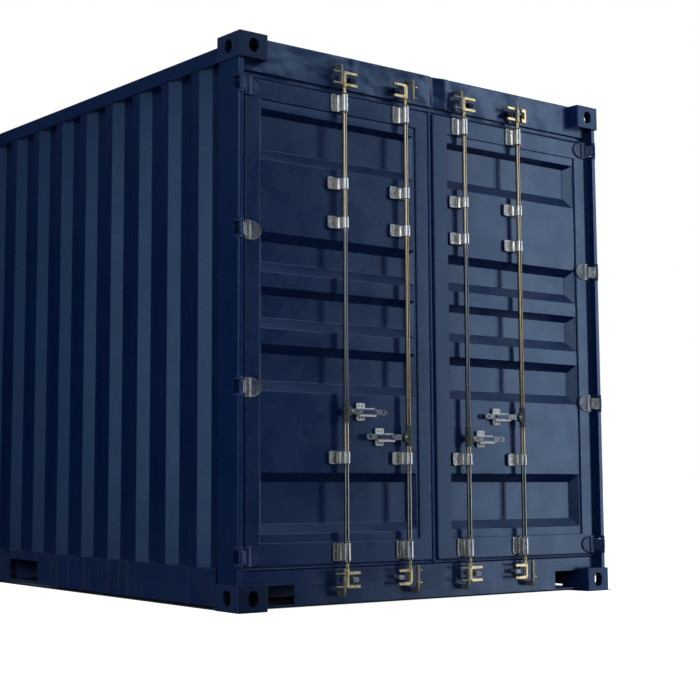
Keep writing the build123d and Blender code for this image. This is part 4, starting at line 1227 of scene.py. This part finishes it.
# bars, hubs and handles
for k, (x, s, zh, w) in enumerate(BARS, 1):
    g = Build()
    g.lathe("z", x, BAR_B, [(8.6, 196.0), (BAR_R - 0.8, 197.5), (BAR_R, 200.0), (BAR_R, 2398.0),
                            (BAR_R - 0.8, 2400.5), (8.6, 2402.0)], 40)
    for kk in (0, 4):
        collars(g, x, *GUIDE_Z[kk])
    piece(f"locking_bar_tube_{k}", g, "zinc_bar_gold" if k in (2, 4) else "zinc_bar", f"lock_bar_{k}", [f"locking_bar_{k}"], angle=40.0)

    g = Build()
    zc = zh + (9.0 if zh < 800.0 else 0.0)
    lo, hi = zc - 50.0, zc + 50.0
    g.lathe("z", x, BAR_B, [(11.9, lo), (14.4, lo), (15.4, lo + 2.0), (15.4, lo + 34.0), (16.3, lo + 36.5), (16.3, hi - 36.5),
                            (15.4, hi - 34.0), (15.4, hi - 2.0), (14.4, hi), (11.9, hi)], 32, ring=True)
    for b0, b1 in ((7.6, 13.2), (24.8, 30.4)):
        cx = [(10, zh - 24), (20, zh - 21), (27, zh - 17)]
        ear = [(8, zh - 27), (20, zh - 21)]
        ear += [(27 + 9.5 * math.cos(math.radians(a)), zh + 17.0 * math.sin(math.radians(a))) for a in range(-80, 81, 16)]
        ear += [(20, zh + 21), (8, zh + 27)]
        g.prism("b", flip(ear, x, s), b0, b1)
    piece(f"handle_hub_casting_{k}", g, "cast", f"lock_bar_{k}", [f"handle_hub_{k}"], bevel=1.4, segments=3)

    pin = Build()
    pin.rod("b", x + s * 27.0, zh, 4.6, 33.4, 4.6, 0.8, 24)
    pin.dome("b", x + s * 27.0, zh, 7.4, 8.2, -4.6)
    pin.hexagon("b", x + s * 27.0, zh, 30.6, 36.2, 13.0)
    piece(f"handle_pivot_bolt_{k}", pin, "zinc", f"lock_bar_{k}", bevel=0.4)

    # lever: flat bar with a joggle, octagonal tip with a hole
    g = Build()
    def arm(s0, s1, b0, b1, h0, h1):
        g.prism("z", flip([(s0, b0), (s1, b0), (s1, b1), (s0, b1)], x, s), zh - h0, zh + h1)
    eye = [(27 + 12.5 * math.cos(math.radians(a)), zh + 12.5 * math.sin(math.radians(a))) for a in range(100, 261, 16)]
    root = eye + [(60, zh - 12.5), (104, zh - 12.5), (104, zh + 12.5), (60, zh + 12.5)]
    g.prism("b", flip(root, x, s), 15.5, 22.6, holes=[circle(x + s * 27.0, zh, 4.9)])
    # joggle between the two planes
    g.prism("z", flip([(103.5, 15.5), (112, 24.0), (113, 31.0), (110, 31.0), (103.5, 22.6)], x, s), zh - 12.5, zh + 12.5)
    tip = [(111.5, zh - 12.5), (200, zh - 12.5), (216, zh - 13.0), (250, zh - 12.5), (262, zh - 6.0), (262, zh + 6.0),
           (250, zh + 12.5), (216, zh + 13.0), (200, zh + 12.5), (111.5, zh + 12.5)]
    g.prism("b", flip(tip, x, s), 24.0, 31.0, holes=[circle(x + s * 238.0, zh, 6.0)])
    piece(f"handle_lever_{k}", g, "zinc_dull", f"handle_{k}", [f"handle_{k}"], bevel=1.5, segments=3)
    # painted stiffener on the lever's face
    g = Build()
    g.prism("b", flip(rrect(86.0, 187.0, zh - 7.2, zh + 7.2, 3.0), x, s), 17.5, 24.2)
    piece(f"handle_stiffener_{k}", g, "paint_frame", f"handle_{k}", bevel=1.6, segments=3)

# catches: pressed plate behind, ledge under the lever, lip above it
for w in ("left", "right"):
    g, lips, screws = Build(), Build(), Build()
    for x, s, zh, side in BARS:
        if side != w:
            continue
        x0, x1 = sorted((x + s * 85.0, x + s * 190.0))
        pl0, pl1 = x0 - 1.0, x0 + 51.0
        for z0, z1, cc in ((zh + 12.0, zh + 41.0, (0, 0, 1, 1)), (zh - 41.0, zh - 15.0, (1, 1, 0, 0))):
            zc = (z0 + z1) / 2 + (2.0 if z0 > zh else -2.0)
            holes = [circle(pl0 + 15.0, zc, 4.6, 16), circle(pl0 + 36.5, zc, 4.6, 16)]
            g.prism("b", rrect(pl0, pl1, z0, z1, 8.0, corners=cc), 40.6, 44.9, holes=holes)
            for hx in (pl0 + 15.0, pl0 + 36.5):
                screws.dome("b", hx, zc, 44.8, 3.6, -1.8)
        g.prism("b", rrect(x0, x1, zh - 15.0, zh + 15.0, 2.0), 42.2, 45.0)
        # lip over the lever on the far half, folded ledge under it
        lips.prism("b", rrect(pl1 - 2.0, x1, zh + 13.4, zh + 18.2, 1.5), 33.0, 44.5)
        prof = [(44.6, zh - 18.6), (23.0, zh - 18.6), (23.0, zh - 14.0), (20.2, zh - 14.0), (20.2, zh - 22.6), (44.6, zh - 22.6)]
        lips.prism("x", prof, x0, x1)
    piece(f"handle_catch_plates_{w}", g, "cream", f"door_{w}", [f"handle_catches_{w}"], bevel=1.0)
    piece(f"handle_catch_lips_{w}", lips, "cream", f"door_{w}", bevel=0.9)
    piece(f"handle_catch_screws_{w}", screws, "cast", f"door_{w}")

# hinges: dished D-shaped leaf with a raised rim and an upright crease, crank and knuckle
HINGE_Z = [240.0, 983.0, 1690.0, 2355.0]
for w, sg in (("left", -1), ("right", 1)):
    worn, dish, painted = Build(), Build(), Build()
    for k, z in enumerate(HINGE_Z):
        # middle leaves: brighter worn tone on rim, crease and crank as painted highlight, darker tone in the dish as
        # painted shade
        g = worn if k in (1, 2) else painted
        gd = dish if k in (1, 2) else painted

        def X(v):
            return sg * v

        def dee(inset, x_flat, n=24):
            pts = []
            for a in range(n + 1):
                t = math.radians(-90.0 + 180.0 * a / n)
                pts.append((X(x_flat - (84.0 - inset) * math.cos(t) ** 0.8), z + (46.0 - inset) * math.sin(t)))
            return pts

        flat = 1150.0
        gd.prism("b", dee(1.0, flat), 41.0, 45.0)
        # rim, rounded over, as rings of falling height
        rows = []
        for inset, b in ((0.0, 44.0), (0.0, 40.6), (1.0, 38.9), (2.6, 38.2), (5.0, 38.2), (7.0, 39.2), (8.5, 41.4)):
            rows.append([(x, b, zz) for x, zz in dee(inset, flat - inset * 0.5)])
        skin(g, rows)
        # upright crease beside the hinge edge
        crease = [(X(1150.0), 42.0), (X(1147.0), 38.0), (X(1140.0), 36.4), (X(1131.0), 36.6), (X(1125.0), 38.6), (X(1119.0), 41.6)]
        g.prism("z", crease, z - 42.0, z + 42.0)
        g.prism("z", [(X(1158.0), 44.0), (X(1158.0), 39.0), (X(1149.0), 38.6), (X(1149.0), 44.0)], z - 44.0, z + 44.0)
        # crank: a band from the leaf round to the knuckle
        band = [(X(1152.0), 44.6), (X(1152.0), 38.8), (X(1158.0), 37.6), (X(1168.0), 30.0), (X(1178.0), 14.0), (X(1186.0), 5.5),
                (X(1197.0), 3.5), (X(1197.0), 10.0), (X(1190.0), 12.0), (X(1184.0), 20.0), (X(1174.0), 36.0), (X(1163.0), 44.0), (X(1156.0), 44.6)]
        g.prism("z", band, z - 27.5, z + 27.5)
        painted.lathe("z", X(1197.0), 15.0, [(7.3, z - 28.0), (10.6, z - 28.0), (11.6, z - 26.6), (11.6, z + 26.6), (10.6, z + 28.0),
                                             (7.3, z + 28.0)], 28, ring=True)
    piece(f"hinge_leaves_worn_{w}", worn, "leaf_worn", f"door_{w}", [f"hinge_leaves_{w}"], angle=40.0)
    piece(f"hinge_leaves_dish_{w}", dish, "leaf_dish", f"door_{w}", angle=40.0)
    piece(f"hinge_leaves_painted_{w}", painted, "leaf_painted", f"door_{w}", angle=40.0)
